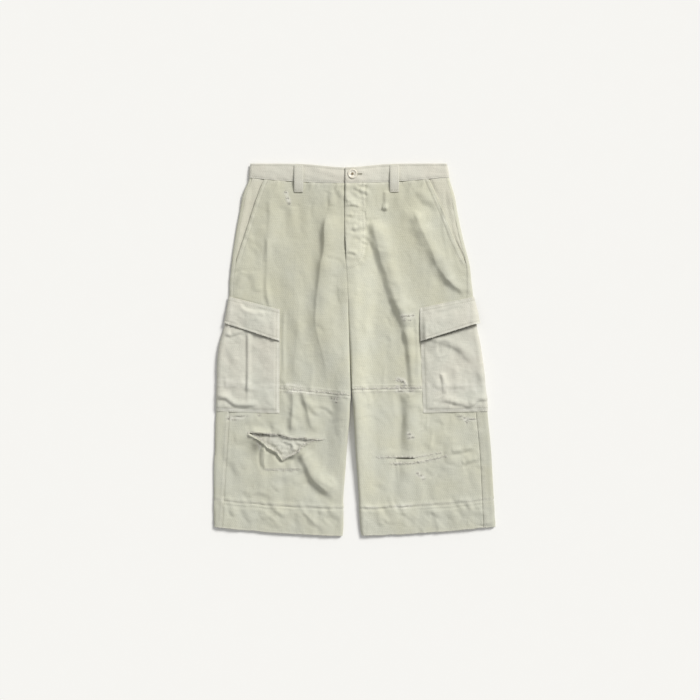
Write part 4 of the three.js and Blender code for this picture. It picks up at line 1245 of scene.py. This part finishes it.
def washed_twill(name, cool, warm, rubbed):
    """Cotton twill, garment-washed after sewing: matt and dry, a shade greener or pinker from place to place,
    paler where seams are rubbed, with the diagonal wale and uneven yarns of the weave just showing.
    Its paler and darker patches mix washing's fade with painted light and shade, a painted highlight pales
    the rip's curled lip, and painted shade darkens small holes, stitch grooves and the cloth under the flaps."""
    material, tree, place = new_material(name)
    # Wales are 1 mm apart in the real cloth. They are drawn 3.6 mm apart so that their slant shows.
    slanted = node(tree, "Mapping", {}, {"Vector": place, "Rotation": (0, 0, math.radians(-28))})
    wale = node(tree, "TexWave", {"wave_type": "BANDS", "bands_direction": "X"}, {
        "Vector": slanted.outputs[0], "Scale": STRAIGHT_WAVE / (3.6 * MM),
        "Distortion": 1.2, "Detail": 2.0, "Detail Scale": 1.5,
    })
    down = (1 / (1.8 * MM), 1 / (14 * MM), 1 / (6 * MM))
    yarns_down = node(tree, "Mapping", {}, {"Vector": place, "Scale": down})
    yarns = node(tree, "TexNoise", {}, {
        "Vector": yarns_down.outputs[0], "Scale": 1.0, "Detail": 3.0, "Roughness": 0.6,
    })
    across = (1 / (12 * MM), 1 / (2.2 * MM), 1 / (6 * MM))
    yarns_across = node(tree, "Mapping", {}, {"Vector": place, "Scale": across})
    wefts = node(tree, "TexNoise", {}, {"Vector": yarns_across.outputs[0], "Scale": 1.0, "Detail": 2.0})
    # Warmer at the seat, cooler down the legs, in soft clouds.
    cloudy = node(tree, "TexNoise", {}, {
        "Vector": place, "Scale": 1 / (75 * MM), "Detail": 3.0, "Roughness": 0.55,
    })
    height_up = node(tree, "SeparateXYZ", {}, {"Vector": place})
    warmth = node(tree, "MapRange", {}, {
        "Value": height_up.outputs["Y"], "From Min": -0.15, "From Max": 0.3, "To Min": -0.11, "To Max": 0.11,
    })
    clouded = node(tree, "Math", {"operation": "ADD"}, {0: cloudy.outputs["Fac"], 1: warmth.outputs[0]})
    shade = node(tree, "MapRange", {}, {"Value": clouded.outputs[0], "From Min": 0.26, "From Max": 0.74})
    tone = node(tree, "Mix", OF_COLOUR, {"Factor": shade.outputs[0], "A": linear(cool), "B": linear(warm)})
    streak = node(tree, "Math", {"operation": "MULTIPLY"}, {0: yarns.outputs["Fac"], 1: wefts.outputs["Fac"]})
    weave = node(tree, "Math", ADD_SCALED, {0: wale.outputs["Fac"], 1: 0.03, 2: streak.outputs[0]})
    value = node(tree, "MapRange", {}, {
        "Value": weave.outputs[0], "From Min": 0.1, "From Max": 0.55, "To Min": 0.93, "To Max": 1.06,
    })
    # the paler and darker patches: washing's fade mixed with painted light and shade
    fade_and_light_mark = node(tree, "Attribute", {"attribute_name": "fade_and_painted_light"}, {})
    fading = node(tree, "Math", ADD_SCALED, {0: fade_and_light_mark.outputs["Fac"], 1: 0.13, 2: value.outputs[0]})
    woven = node(tree, "HueSaturation", {}, {"Color": tone.outputs["Result"], "Value": fading.outputs[0]})
    # paler by the worn mark: rubbed seams and torn places, and a painted highlight on the rip's curled lip
    rub = node(tree, "Attribute", {"attribute_name": "worn"}, {})
    rubbing = node(tree, "Math", {"operation": "MULTIPLY"}, {0: rub.outputs["Fac"], 1: 0.7})
    paler = node(tree, "Mix", OF_COLOUR, {
        "Factor": rubbing.outputs[0], "A": woven.outputs[0], "B": linear(rubbed),
    })
    # darker towards #4A493D by the holes mark: painted shade inside small holes, in stitch grooves, under the
    # cargo flaps and under the rip's upper edge, with the needle holes
    hole = node(tree, "Attribute", {"attribute_name": "holes"}, {})
    colour = node(tree, "Mix", OF_COLOUR, {
        "Factor": hole.outputs["Fac"], "A": paler.outputs["Result"], "B": linear("#4A493D"),
    })
    nap = node(tree, "TexNoise", {}, {
        "Vector": place, "Scale": 1 / (2.5 * MM), "Detail": 4.0, "Roughness": 0.7,
    })
    threads_up = node(tree, "Math", ADD_SCALED, {0: wale.outputs["Fac"], 1: 0.14, 2: streak.outputs[0]})
    height = node(tree, "Math", ADD_SCALED, {0: nap.outputs["Fac"], 1: 0.5, 2: threads_up.outputs[0]})
    finish(tree, colour.outputs["Result"], height.outputs[0], 0.8, 1.0 * MM, {
        "Roughness": 0.93, "Specular IOR Level": 0.18, "Sheen Weight": 0.12, "Sheen Roughness": 0.5,
    })
    return material


def spun_thread(name, shade, light):
    """Polyester-cored cotton thread: two plies twisted hard, so it has a faint shine across the twist."""
    material, tree, place = new_material(name)
    # The plies turn round about once a millimetre.
    twist = node(tree, "TexWave", {"bands_direction": "DIAGONAL"}, {
        "Vector": place, "Scale": DIAGONAL_WAVE / (1.1 * MM),
    })
    mixed = node(tree, "TexNoise", {}, {"Vector": place, "Scale": 1 / (9 * MM)})
    colour = node(tree, "Mix", OF_COLOUR, {
        "Factor": mixed.outputs["Fac"], "A": linear(shade), "B": linear(light),
    })
    dry = {"Roughness": 0.75, "Sheen Weight": 0.1}
    finish(tree, colour.outputs["Result"], twist.outputs["Fac"], 0.4, 0.15 * MM, dry)
    return material


def cast_resin(name, pale, dark):
    """Cast polyester resin, turned and tumbled: a soft gloss, and faint cream clouds like horn."""
    material, tree, place = new_material(name)
    clouds = node(tree, "TexNoise", {}, {
        "Vector": place, "Scale": 1 / (6 * MM), "Detail": 4.0, "Distortion": 1.5,
    })
    spread = node(tree, "MapRange", {}, {"Value": clouds.outputs["Fac"], "From Min": 0.35, "From Max": 0.7})
    colour = node(tree, "Mix", OF_COLOUR, {"Factor": spread.outputs[0], "A": linear(pale), "B": linear(dark)})
    turned = node(tree, "TexNoise", {}, {"Vector": place, "Scale": 1 / (0.8 * MM), "Detail": 2.0})
    glossy = {"Roughness": 0.38, "IOR": 1.54}
    finish(tree, colour.outputs["Result"], turned.outputs["Fac"], 0.15, 0.1 * MM, glossy)
    return material


leg_twill = washed_twill("garment_washed_twill", "#C9C9BA", "#CCCAB4", "#E8E6DB")
pocket_twill = washed_twill("garment_washed_twill_pockets", "#CFCFC2", "#D5D1C3", "#EAE8DE")
facing_twill = washed_twill("garment_washed_twill_facing", "#D1D0BF", "#D7D3C1", "#EAE8DE")
topstitch_thread = spun_thread("polyester_cored_cotton_thread", "#AFAD9A", "#C6C3B2")
frayed_cotton = spun_thread("frayed_cotton_yarn", "#DCD9CC", "#ECE9DF")
button_thread = spun_thread("button_thread", "#8A7A62", "#A08F72")
button_resin = cast_resin("cast_resin_horn_look", "#F1EDE0", "#DCD3BE")


# ---- The cut pieces


def seam_walk(side, extra=0.0):
    return lambda y: walk_of_inset(seam_inset[side](y) + extra)


def inner_walk(side):
    return lambda y: walk_of_inset(leg_width(side, y))


def front_limit(side):
    def limit(y):
        mouth = walk_of(side, mouth_edge[side](y), y)
        return np.where(y > MOUTH_END, mouth, walk_of_inset(seam_inset[side](y) + SEAM_GAP))

    return limit


def facing_out(side, inner, outer):
    """Side edges in the order that goes round the body, so that each wall faces out."""
    return (inner, outer) if side == LEFT else (outer, inner)


def gape(y):
    """The fly's edge stands away from the right front over the foot of the opening."""
    return 1.9 * near(y - 217, 17)


fine_inseam = (0.02, 0.25, 0.8, 1.7, 3.0)
sewn_pieces = {}

for side, word in SIDE_NAMES.items():
    hem = lambda x: hem_line(side, x)
    seat_top = lambda x: waist_seam(x) - SEAM_GAP / 2
    flap_edge = lambda x: cargo_line(side, "down", x)
    fly_edge = (lambda y: inner_walk(LEFT)(y) - gape(y)) if side == LEFT else inner_walk(RIGHT)
    under_inner = lambda y: -walk_of_inset(leg_width(side, y))
    tucked_under = lambda y: walk_of(side, mouth_edge[side](y) - side * 8, y)
    cargo_inner = lambda y: walk_of(side, cargo_front(side, y), y)

    make_cloth(
        f"front_{word}", side, *facing_out(side, fly_edge, front_limit(side)),
        lambda x: knee_seam(side, x) + SEAM_GAP / 2, seat_top,
        plain_rows(440, WEAVE_STEP), steps(215, WEAVE_STEP, fine_inseam), leg_cloth, leg_twill,
    )
    make_cloth(
        f"lower_front_{word}", side, *facing_out(side, inner_walk(side), seam_walk(side, SEAM_GAP)),
        hem, lambda x: knee_seam(side, x) - SEAM_GAP / 2,
        hem_rows(295, WEAVE_STEP), steps(258, WEAVE_STEP, fine_inseam), leg_cloth, leg_twill,
        tears=[RIP] if side == RIGHT else [SLIT],
    )
    make_cloth(
        f"back_{word}", side, *facing_out(side, seam_walk(side), under_inner), hem, seat_top,
        hem_rows(735, HIDDEN_STEP), steps(290, HIDDEN_STEP, fine_inseam), back_cloth, leg_twill,
    )
    make_cloth(
        f"pocket_facing_{word}", side, *facing_out(side, tucked_under, seam_walk(side, 0.1)),
        lambda x: MOUTH_END + 4 + 0 * x, lambda x: waist_seam(x) - 2 * SEAM_GAP,
        plain_rows(176, WEAVE_STEP), steps(30, WEAVE_STEP), facing_cloth, facing_twill,
    )
    make_cloth(
        f"cargo_pocket_{word}", side, *facing_out(side, cargo_inner, lambda y: 0 * y - 1.4),
        lambda x: cargo_line(side, "foot", x), lambda x: flap_edge(x) + POCKET_UNDER_FLAP,
        plain_rows(190, 1.7), steps(128, 1.7), pocket_cloth, pocket_twill,
    )
    make_cloth(
        f"cargo_flap_{word}", side, *facing_out(side, cargo_inner, lambda y: 0 * y + 1.4),
        flap_edge, lambda x: cargo_line(side, "up", x),
        plain_rows(62, 1.5), steps(115, 1.5), flap_cloth, pocket_twill, thick=DOUBLE_CLOTH,
    )


def beside_centre(side, out=0.0):
    return lambda y: walk_of(side, centre_line(y) + out, y)


def make_waistband():
    """One band all round, from its left end at the fly, under the seat, and on to the end of the underlap."""
    rows = band_rows(33, 1.7)
    blocks = []
    ends = {
        LEFT: (beside_centre(LEFT, SEAM_GAP / 2), lambda y: -beside_centre(LEFT)(y)),
        RIGHT: (lambda y: -beside_centre(RIGHT)(y), beside_centre(RIGHT, OVERLAP)),
    }
    low = lambda x: waist_seam(x) + SEAM_GAP / 2
    for side, (first, last) in ends.items():
        across = steps(430 if side == LEFT else 450, 1.9)
        x, y, walk = settle(side, first, last, low, waist_top, rows, across)
        lift = band_cloth(side, x, y, walk) - rows[:, 2:]
        if side == RIGHT:
            # the underlap lies a little lower, under the left end
            lift = lift - 0.45 * (smooth(x - centre_line(y), -1, 1) * (walk > 0))
        points, _ = laid(side, y, walk, lift)
        cut = slice(None) if side == LEFT else slice(1, None)
        blocks.append([part[:, cut] for part in (points, x, y, walk)])
    points, x, y, walk = (np.concatenate(parts, axis=1) for parts in zip(*blocks))
    verts, faces, source = wall(points, 0.8)
    piece = add_mesh("cloth_waistband", verts, faces, pocket_twill)
    rubbed = 0.5 * near(waist_top(x) - y, 3) + 0.35 * near(y - waist_seam(x), 3)
    on_left = x > centre_line(y)
    # needle holes with painted shade along the stitch rows, and painted shade in the buttonhole's slot
    sewn = 0.22 * np.where(on_left, sewn_lines(LEFT, x, y, walk), sewn_lines(RIGHT, x, y, walk))
    dark = np.maximum(0.2 * slot_at(x, y, 0.9, 6, 18) * (walk > 20), sewn)
    flat = (BAND_ROUND * MM, 2 * BAND_HEIGHT * MM)
    marks = (rubbed, dark, fade_and_painted_light_at(x, y) * (walk > 0))
    put_in_place("waistband", piece, marks, source, flat, flat[0] * flat[1])


make_waistband()

make_cloth(
    "fly_shield", LEFT,
    beside_centre(LEFT, SEAM_GAP), beside_centre(LEFT, OVERLAP - 3),
    lambda x: FLY_END + 6 + 0 * x, lambda x: waist_seam(x) - 2 * SEAM_GAP,
    plain_rows(178, 3), steps(40, 3), shield_cloth, leg_twill,
)
patch_low, patch_high = (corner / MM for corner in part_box("rip_patch_right"))
make_cloth(
    "rip_patch_right", RIGHT,
    lambda y: walk_of(RIGHT, patch_low[0] + 0.5, y), lambda y: walk_of(RIGHT, patch_high[0] - 0.5, y),
    lambda x: patch_low[1] + 0.5 + 0 * x, lambda x: patch_high[1] - 0.5 + 0 * x,
    plain_rows(78, 1.5), steps(172, 1.5), patch_cloth, pocket_twill,
)


def loop_cloth(front):
    def height(side, x, y, walk):
        middle, half = (loop_low[0] + loop_high[0]) / 2, (loop_high[0] - loop_low[0]) / 2
        rolled_edge = 0.7 * near(half - np.abs(x - middle), 1.0)
        if not front:
            return WAIST_LIFT - 0.05 - 0.5 * rolled_edge
        up = (y - loop_low[1]) / (loop_high[1] - loop_low[1])
        bow = 2.4 * np.sin(math.pi * np.clip(up, 0, 1)) ** 0.7 * (1 + 0.12 * uneven(y / 11, 0 * y, 91))
        tacked = 0.35 * near((up - 0.05) / 0.02, 1) + 0.35 * near((up - 0.95) / 0.02, 1)
        stitched = 0.22 * near(half - np.abs(x - middle) - 3.2, 1.0)
        return DOUBLE_CLOTH + SEAM_GAP + 0.3 + bow - rolled_edge - tacked - stitched

    return height


for loop in (
    "belt_loop_front_right", "belt_loop_front_left",
    "belt_loop_back_right", "belt_loop_back_centre", "belt_loop_back_left",
):
    loop_low, loop_high = (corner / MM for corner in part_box(loop))
    side = LEFT if (loop_low[0] + loop_high[0]) / 2 > centre_line(380.0) else RIGHT
    under = -1 if "back" in loop else 1
    right_walk = lambda y: under * walk_of(side, loop_low[0] + 0 * y, y)
    left_walk = lambda y: under * walk_of(side, loop_high[0] + 0 * y, y)
    make_cloth(
        loop, side, *((right_walk, left_walk) if under == 1 else (left_walk, right_walk)),
        lambda x: loop_low[1] + 0.1 + 0 * x, lambda x: loop_high[1] - 0.1 + 0 * x,
        plain_rows(57, 1.4), steps(19, 1.0, (0.02, 0.4, 1.1)), loop_cloth(under == 1), pocket_twill,
        thick=DOUBLE_CLOTH - 0.15,
    )
    if under == 1:
        (x0, y0, _), (x1, y1, _) = loop_low, loop_high
        rows = [[(x, y0 + 3), (x, y1 - 3)] for x in (x0 + 3.2, x1 - 3.2)]
        rows += [[(x0 + 2, y), (x1 - 2, y)] for y in (y0 + 2.5, y0 + 3.7, y1 - 3.7)]
        sew(loop, stitched_rows(rows, side, loop_cloth(True)))


# ---- Rows of topstitching


def along_y(low, high, place):
    y = np.linspace(low, high, 90)
    return np.stack([place(y), y], -1)


def along_x(start, end, place):
    x = np.linspace(start, end, 120)
    return np.stack([x, place(x)], -1)


for side, word in SIDE_NAMES.items():
    cargo = CARGO[side]
    seam_x = lambda y, extra: outer_edge[side](y) - side * (seam_inset[side](y) + extra)
    front_x = lambda y, extra: cargo_front(side, y) + side * extra

    knee_ends = (inner_edge(side, -88.0) + side * 6, cargo["bottom"] + side * -1)
    upper = [along_y(MOUTH_END + 6, 346, lambda y: mouth_edge[side](y) - side * e) for e in (2.2, 9)]
    upper.append(along_x(*knee_ends, lambda x: knee_seam(side, x) + KNEE_ROW))
    centre_end = FLY_END - (2 if side == RIGHT else 6)
    upper.append(along_y(CROTCH + 30, centre_end, lambda y: inner_edge(side, y) + side * 2.2))
    if side == LEFT:
        upper += [fly_seam, fly_seam + np.array([-5.5, 2.0])]
    sew(f"front_{word}", stitched_rows(upper, side, leg_cloth))

    hem_ends = (inner_edge(side, -335.0) + side * 6, seam_x(-325.0, 2))
    lower = [along_x(*knee_ends, lambda x: knee_seam(side, x) - KNEE_ROW)]
    lower += [along_x(*hem_ends, lambda x: hem_line(side, x) + (HEM_TURN + e)) for e in HEM_ROWS]
    if side == RIGHT:
        lower.append([(PATCH_START + 3, PATCH_FOOT + 2), (PATCH_END - 2, PATCH_FOOT + 1)])
        lower.append([(PATCH_START + 2, PATCH_FOOT + 2), (PATCH_START + 2, PATCH_TOP - 14)])
    sew(f"lower_front_{word}", stitched_rows(lower, side, leg_cloth))

    strip = [along_y(-366, -140, lambda y: seam_x(y, -e)) for e in SIDE_ROWS]
    strip.append(along_y(116, MOUTH_END - 10, lambda y: seam_x(y, -SIDE_ROWS[0])))
    sew(f"back_{word}", stitched_rows(strip, side, back_cloth))

    foot_ends = (cargo["bottom"] + side * 2, outer_edge[side](-120.0) - side * 5)
    pocket = [along_y(-128, 16, lambda y: front_x(y, e)) for e in (2.0, 8.0)]
    pocket += [along_x(*foot_ends, lambda x: cargo_line(side, "foot", x) + e) for e in (2.0, 8.4)]
    sew(f"cargo_pocket_{word}", stitched_rows(pocket, side, pocket_cloth))

    flap_ends = (cargo["top"] + side * 3, outer_edge[side](60.0) - side * 6)
    flap_rows = (("down", 5.5), ("up", -1.8), ("up", -7.5))
    flap = [along_x(*flap_ends, lambda x: cargo_line(side, edge, x) + e) for edge, e in flap_rows]
    flap.append(along_y(cargo["down"][0] + 6, cargo["up"][0] - 3, lambda y: front_x(y, 5.5)))
    sew(f"cargo_flap_{word}", stitched_rows(flap, side, flap_cloth))


def sew_waistband():
    stitched = []
    for side in (LEFT, RIGHT):
        ends = (centre_line(370.0) + side * 2, outer_edge[side](370.0) - side * 5)
        low = along_x(*ends, lambda x: waist_seam(x) + BAND_ROWS[0])
        top = along_x(*ends, lambda x: waist_top(x) - BAND_ROWS[1])
        stitched += stitched_rows([low, top], side, band_cloth)
    sew("waistband", stitched)


sew_waistband()


# ---- Frayed edges of the torn and rubbed places

# Each edge: its side, how many yarns and how long, the angle that they lean at, the seed and the spread
FRAYED_EDGES = [
    (RIGHT, RIP[:10], 130, 7, -90, 101, 0.7),
    (RIGHT, rip_lip + [1.5, 2.5], 170, 6, 40, 102, 1.2),
    (RIGHT, [(-75, -188), (-62, -187)], 14, 6, 0, 103, 0.7),
    (RIGHT, [(-190, -250), (-106, -251)], 34, 4.5, -80, 104, 1.0),
    (LEFT, [(46, -225), (130, -225), (182, -216)], 90, 5, 80, 105, 0.8),
    (LEFT, [(76, -238), (121, -237), (195, -222)], 120, 6, 10, 106, 1.1),
    (LEFT, [(86, -62), (106, -66), (104, -78), (88, -78)], 60, 6, 20, 107, 1.6),
]
fray_paths = []
for side, line, count, length, lean, seed, spread in FRAYED_EDGES:
    fray_paths += frays(side, leg_cloth, line, count, length, lean, seed, spread)
for nick_x, nick_y, half_x, half_y, dark in NICKS:
    side = LEFT if nick_x > -9 else RIGHT
    line = [(nick_x - half_x - 1, nick_y), (nick_x + half_x + 1, nick_y)]
    fray_paths += frays(side, leg_cloth, line, 6, 4, 90, int(500 + nick_x), 1.2)
for side in (RIGHT, LEFT):
    ends = (inner_edge(side, -90.0) + side * 4, CARGO[side]["bottom"] - side * 2)
    knee = along_x(*ends, lambda x: knee_seam(side, x))
    fray_paths += frays(side, leg_cloth, knee, 300 if side == LEFT else 200, 5.2, 90, 110 + side, 1.2)
    ends = (inner_edge(side, -380.0) + side * 3, outer_edge[side](-375.0) - side * 8)
    hem_edge = along_x(*ends, lambda x: hem_line(side, x) + 1.5)
    fray_paths += frays(side, leg_cloth, hem_edge, 70, 2.6, -90, 120 + side, 0.8)
    ends = (CARGO[side]["top"] + side * 2, outer_edge[side](50.0) - side * 6)
    low = along_x(*ends, lambda x: cargo_line(side, "down", x) + 0.6)
    fray_paths += frays(side, flap_cloth, low, 40, 3, -90, 130 + side, 0.9)
frayed = threads("frayed_yarns", fray_paths, 0.5, frayed_cotton)


# ---- Button and its thread

BUTTON_DISH = -1.15  # the dished middle of the button, below its rim
HOLE = 1.9  # how far each hole is from the middle, along x and along y


def turned_button():
    """A button turned from a disc: a rounded rim, a dished middle and four holes."""
    low, high = (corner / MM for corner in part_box("button"))
    radius, top = (high[0] - low[0]) / 2, high[2]
    # from the middle of the underside to the middle of the dish: share of the radius, and height from the rim
    profile = [
        (0, -3.0), (0.72, -3.0), (0.9, -2.7), (1, -2.0), (1, -1.1), (0.985, -0.6), (0.94, -0.2), (0.87, 0),
        (0.79, -0.08), (0.72, -0.35), (0.67, -0.8), (0.62, -1.15), (0.55, -1.3), (0.3, -1.38), (0, -1.4),
    ]
    around = 72
    turn = np.linspace(0, 2 * math.pi, around, endpoint=False)
    ring_x, ring_y = radius * np.cos(turn), radius * np.sin(turn)
    points = np.concatenate([np.stack([r * ring_x, r * ring_y, 0 * turn + z], -1) for r, z in profile])
    for hole_x, hole_y in ((a, b) for a in (-HOLE, HOLE) for b in (-HOLE, HOLE)):
        sunk = near(np.hypot(points[:, 0] - hole_x, points[:, 1] - hole_y), 0.9) * (points[:, 2] > -1.6)
        points[:, 2] -= 1.2 * sunk
    faces = []
    for k in range(0, (len(profile) - 1) * around, around):
        for a in range(around):
            b = (a + 1) % around
            faces.append([k + a, k + b, k + around + b, k + around + a])
    points += [BUTTON_X, BUTTON_Y, top]
    piece = add_mesh("resin_button", points, faces, button_resin, crisp=60)
    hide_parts("button")


def button_wraps():
    """The thread crossed through the four holes, and wound round the shank below."""
    low, high = (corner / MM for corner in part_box("button"))
    middle = np.array([BUTTON_X, BUTTON_Y, high[2] + BUTTON_DISH])
    t = np.linspace(0, 1, 7)
    paths = []
    for start, end in (((-HOLE, -HOLE), (HOLE, HOLE)), ((-HOLE, HOLE), (HOLE, -HOLE))):
        for shift in (-0.8, -0.4, 0.0, 0.4, 0.8):
            x = between(start[0], end[0], t) + shift
            y = between(start[1], end[1], t) - shift * np.sign(end[1] - start[1])
            paths.append(middle + np.stack([x, y, 0.55 * np.sin(math.pi * t) - 0.3], -1))
    angle = np.linspace(0, 2 * math.pi, 20)
    for turn in range(5):
        z = low[2] - high[2] + 1.0 + 0.5 * turn - BUTTON_DISH
        paths.append(middle + np.stack([1.5 * np.cos(angle), 1.5 * np.sin(angle), z + 0 * angle], -1))
    threads("button_thread_wraps", paths, 0.42, button_thread)


turned_button()
button_wraps()


def bound_buttonhole():
    """A purl of close stitches round the slot, from beside the button to its outer end."""
    start, end, half = BUTTON_X + 8, BUTTON_X + 20, 1.7
    away = np.array([0.35, 1.0, half, half + 0.5])
    lift = np.array([-0.25, 0.35, 0.3, -0.2])
    paths = []
    for x in np.arange(start, end, 0.62):
        for way in (-1, 1):
            y = BUTTON_Y - 1 + way * away
            paths.append(surface(LEFT, band_cloth, x + 0 * y, y, lift)[0])
    threads("buttonhole_stitches", paths, 0.34, topstitch_thread)


bound_buttonhole()


# ---- Which pieces each cut piece rests on, and what goes with it, worked out but not used further

RESTS_ON = {
    "waistband": ["belt_loop_back_right", "belt_loop_back_centre", "belt_loop_back_left"],
    "fly_shield": ["front_right"],
    "rip_patch_right": ["back_right"],
    "belt_loop_front_right": ["waistband"],
    "belt_loop_front_left": ["waistband"],
}
for name, sheet in SHEETS.items():
    on_table = name.startswith(("back", "belt"))
    word = name.rsplit("_", 1)[-1]
    rests_on = [f"cloth_{other}" for other in RESTS_ON.get(name, [] if on_table else [f"back_{word}"])]
    with_pieces = [sewn_pieces[name]] if name in sewn_pieces else []
    if name == "lower_front_right":
        with_pieces.append(frayed)
    "facing" if "facing" in name else "twill"


# ---- Table top, light and camera


def make_table_top():
    """Matt white paint, which takes the light evenly and has no gloss."""
    material, tree, place = new_material("matt_white_paint")
    grain = node(tree, "TexNoise", {}, {"Vector": place, "Scale": 1 / (40 * MM), "Detail": 2.0})
    colour = node(tree, "Mix", OF_COLOUR, {
        "Factor": grain.outputs["Fac"], "A": linear("#F9F8F5"), "B": linear("#F8F7F4"),
    })
    matt = {"Roughness": 1.0, "Specular IOR Level": 0.0}
    shader = node(tree, "BsdfPrincipled", {}, {"Base Color": colour.outputs["Result"], **matt})
    node(tree, "OutputMaterial", {}, {"Surface": shader.outputs[0]})
    reach, drop = 40.0, -0.0004
    corners = [(-reach, -reach, drop), (reach, -reach, drop), (reach, reach, drop), (-reach, reach, drop)]
    new_object("table_top", corners, [(0, 1, 2, 3)], material)


def make_light():
    """A wide soft light from the upper right, in a room with pale walls."""
    room_colour, room_strength = (0.985, 0.99, 1.0, 1), 0.435
    light_colour, light_strength, light_spread = (1.0, 0.995, 0.975), 2.88, math.radians(20)
    elevation, azimuth = math.radians(37), math.radians(47)
    world = bpy.data.worlds.new("soft_room")
    bpy.context.scene.world = world
    world.use_nodes = True
    background = world.node_tree.nodes["Background"]
    background.inputs["Color"].default_value = room_colour
    background.inputs["Strength"].default_value = room_strength
    softbox = bpy.data.lights.new("softbox", "SUN")
    softbox.energy, softbox.angle, softbox.color = light_strength, light_spread, light_colour
    lamp = bpy.data.objects.new("softbox", softbox)
    level = math.cos(elevation)
    towards = Vector((level * math.cos(azimuth), level * math.sin(azimuth), math.sin(elevation)))
    lamp.rotation_mode = "QUATERNION"
    lamp.rotation_quaternion = towards.to_track_quat("Z", "Y")
    bpy.context.scene.collection.objects.link(lamp)


def make_camera():
    """Straight above, far enough away to take in the whole garment."""
    lens, sensor = 85, 36
    view_width, view_centre = 1.47, -9.45 * MM
    camera = bpy.data.cameras.new("overhead")
    camera.lens, camera.sensor_width = lens, sensor
    camera.clip_end = 100
    stand = bpy.data.objects.new("overhead", camera)
    stand.location = (view_centre, 0, view_width * lens / sensor)
    bpy.context.scene.collection.objects.link(stand)
    bpy.context.scene.camera = stand


make_table_top()
make_light()
make_camera()
bpy.context.scene.view_settings.view_transform = "Standard"
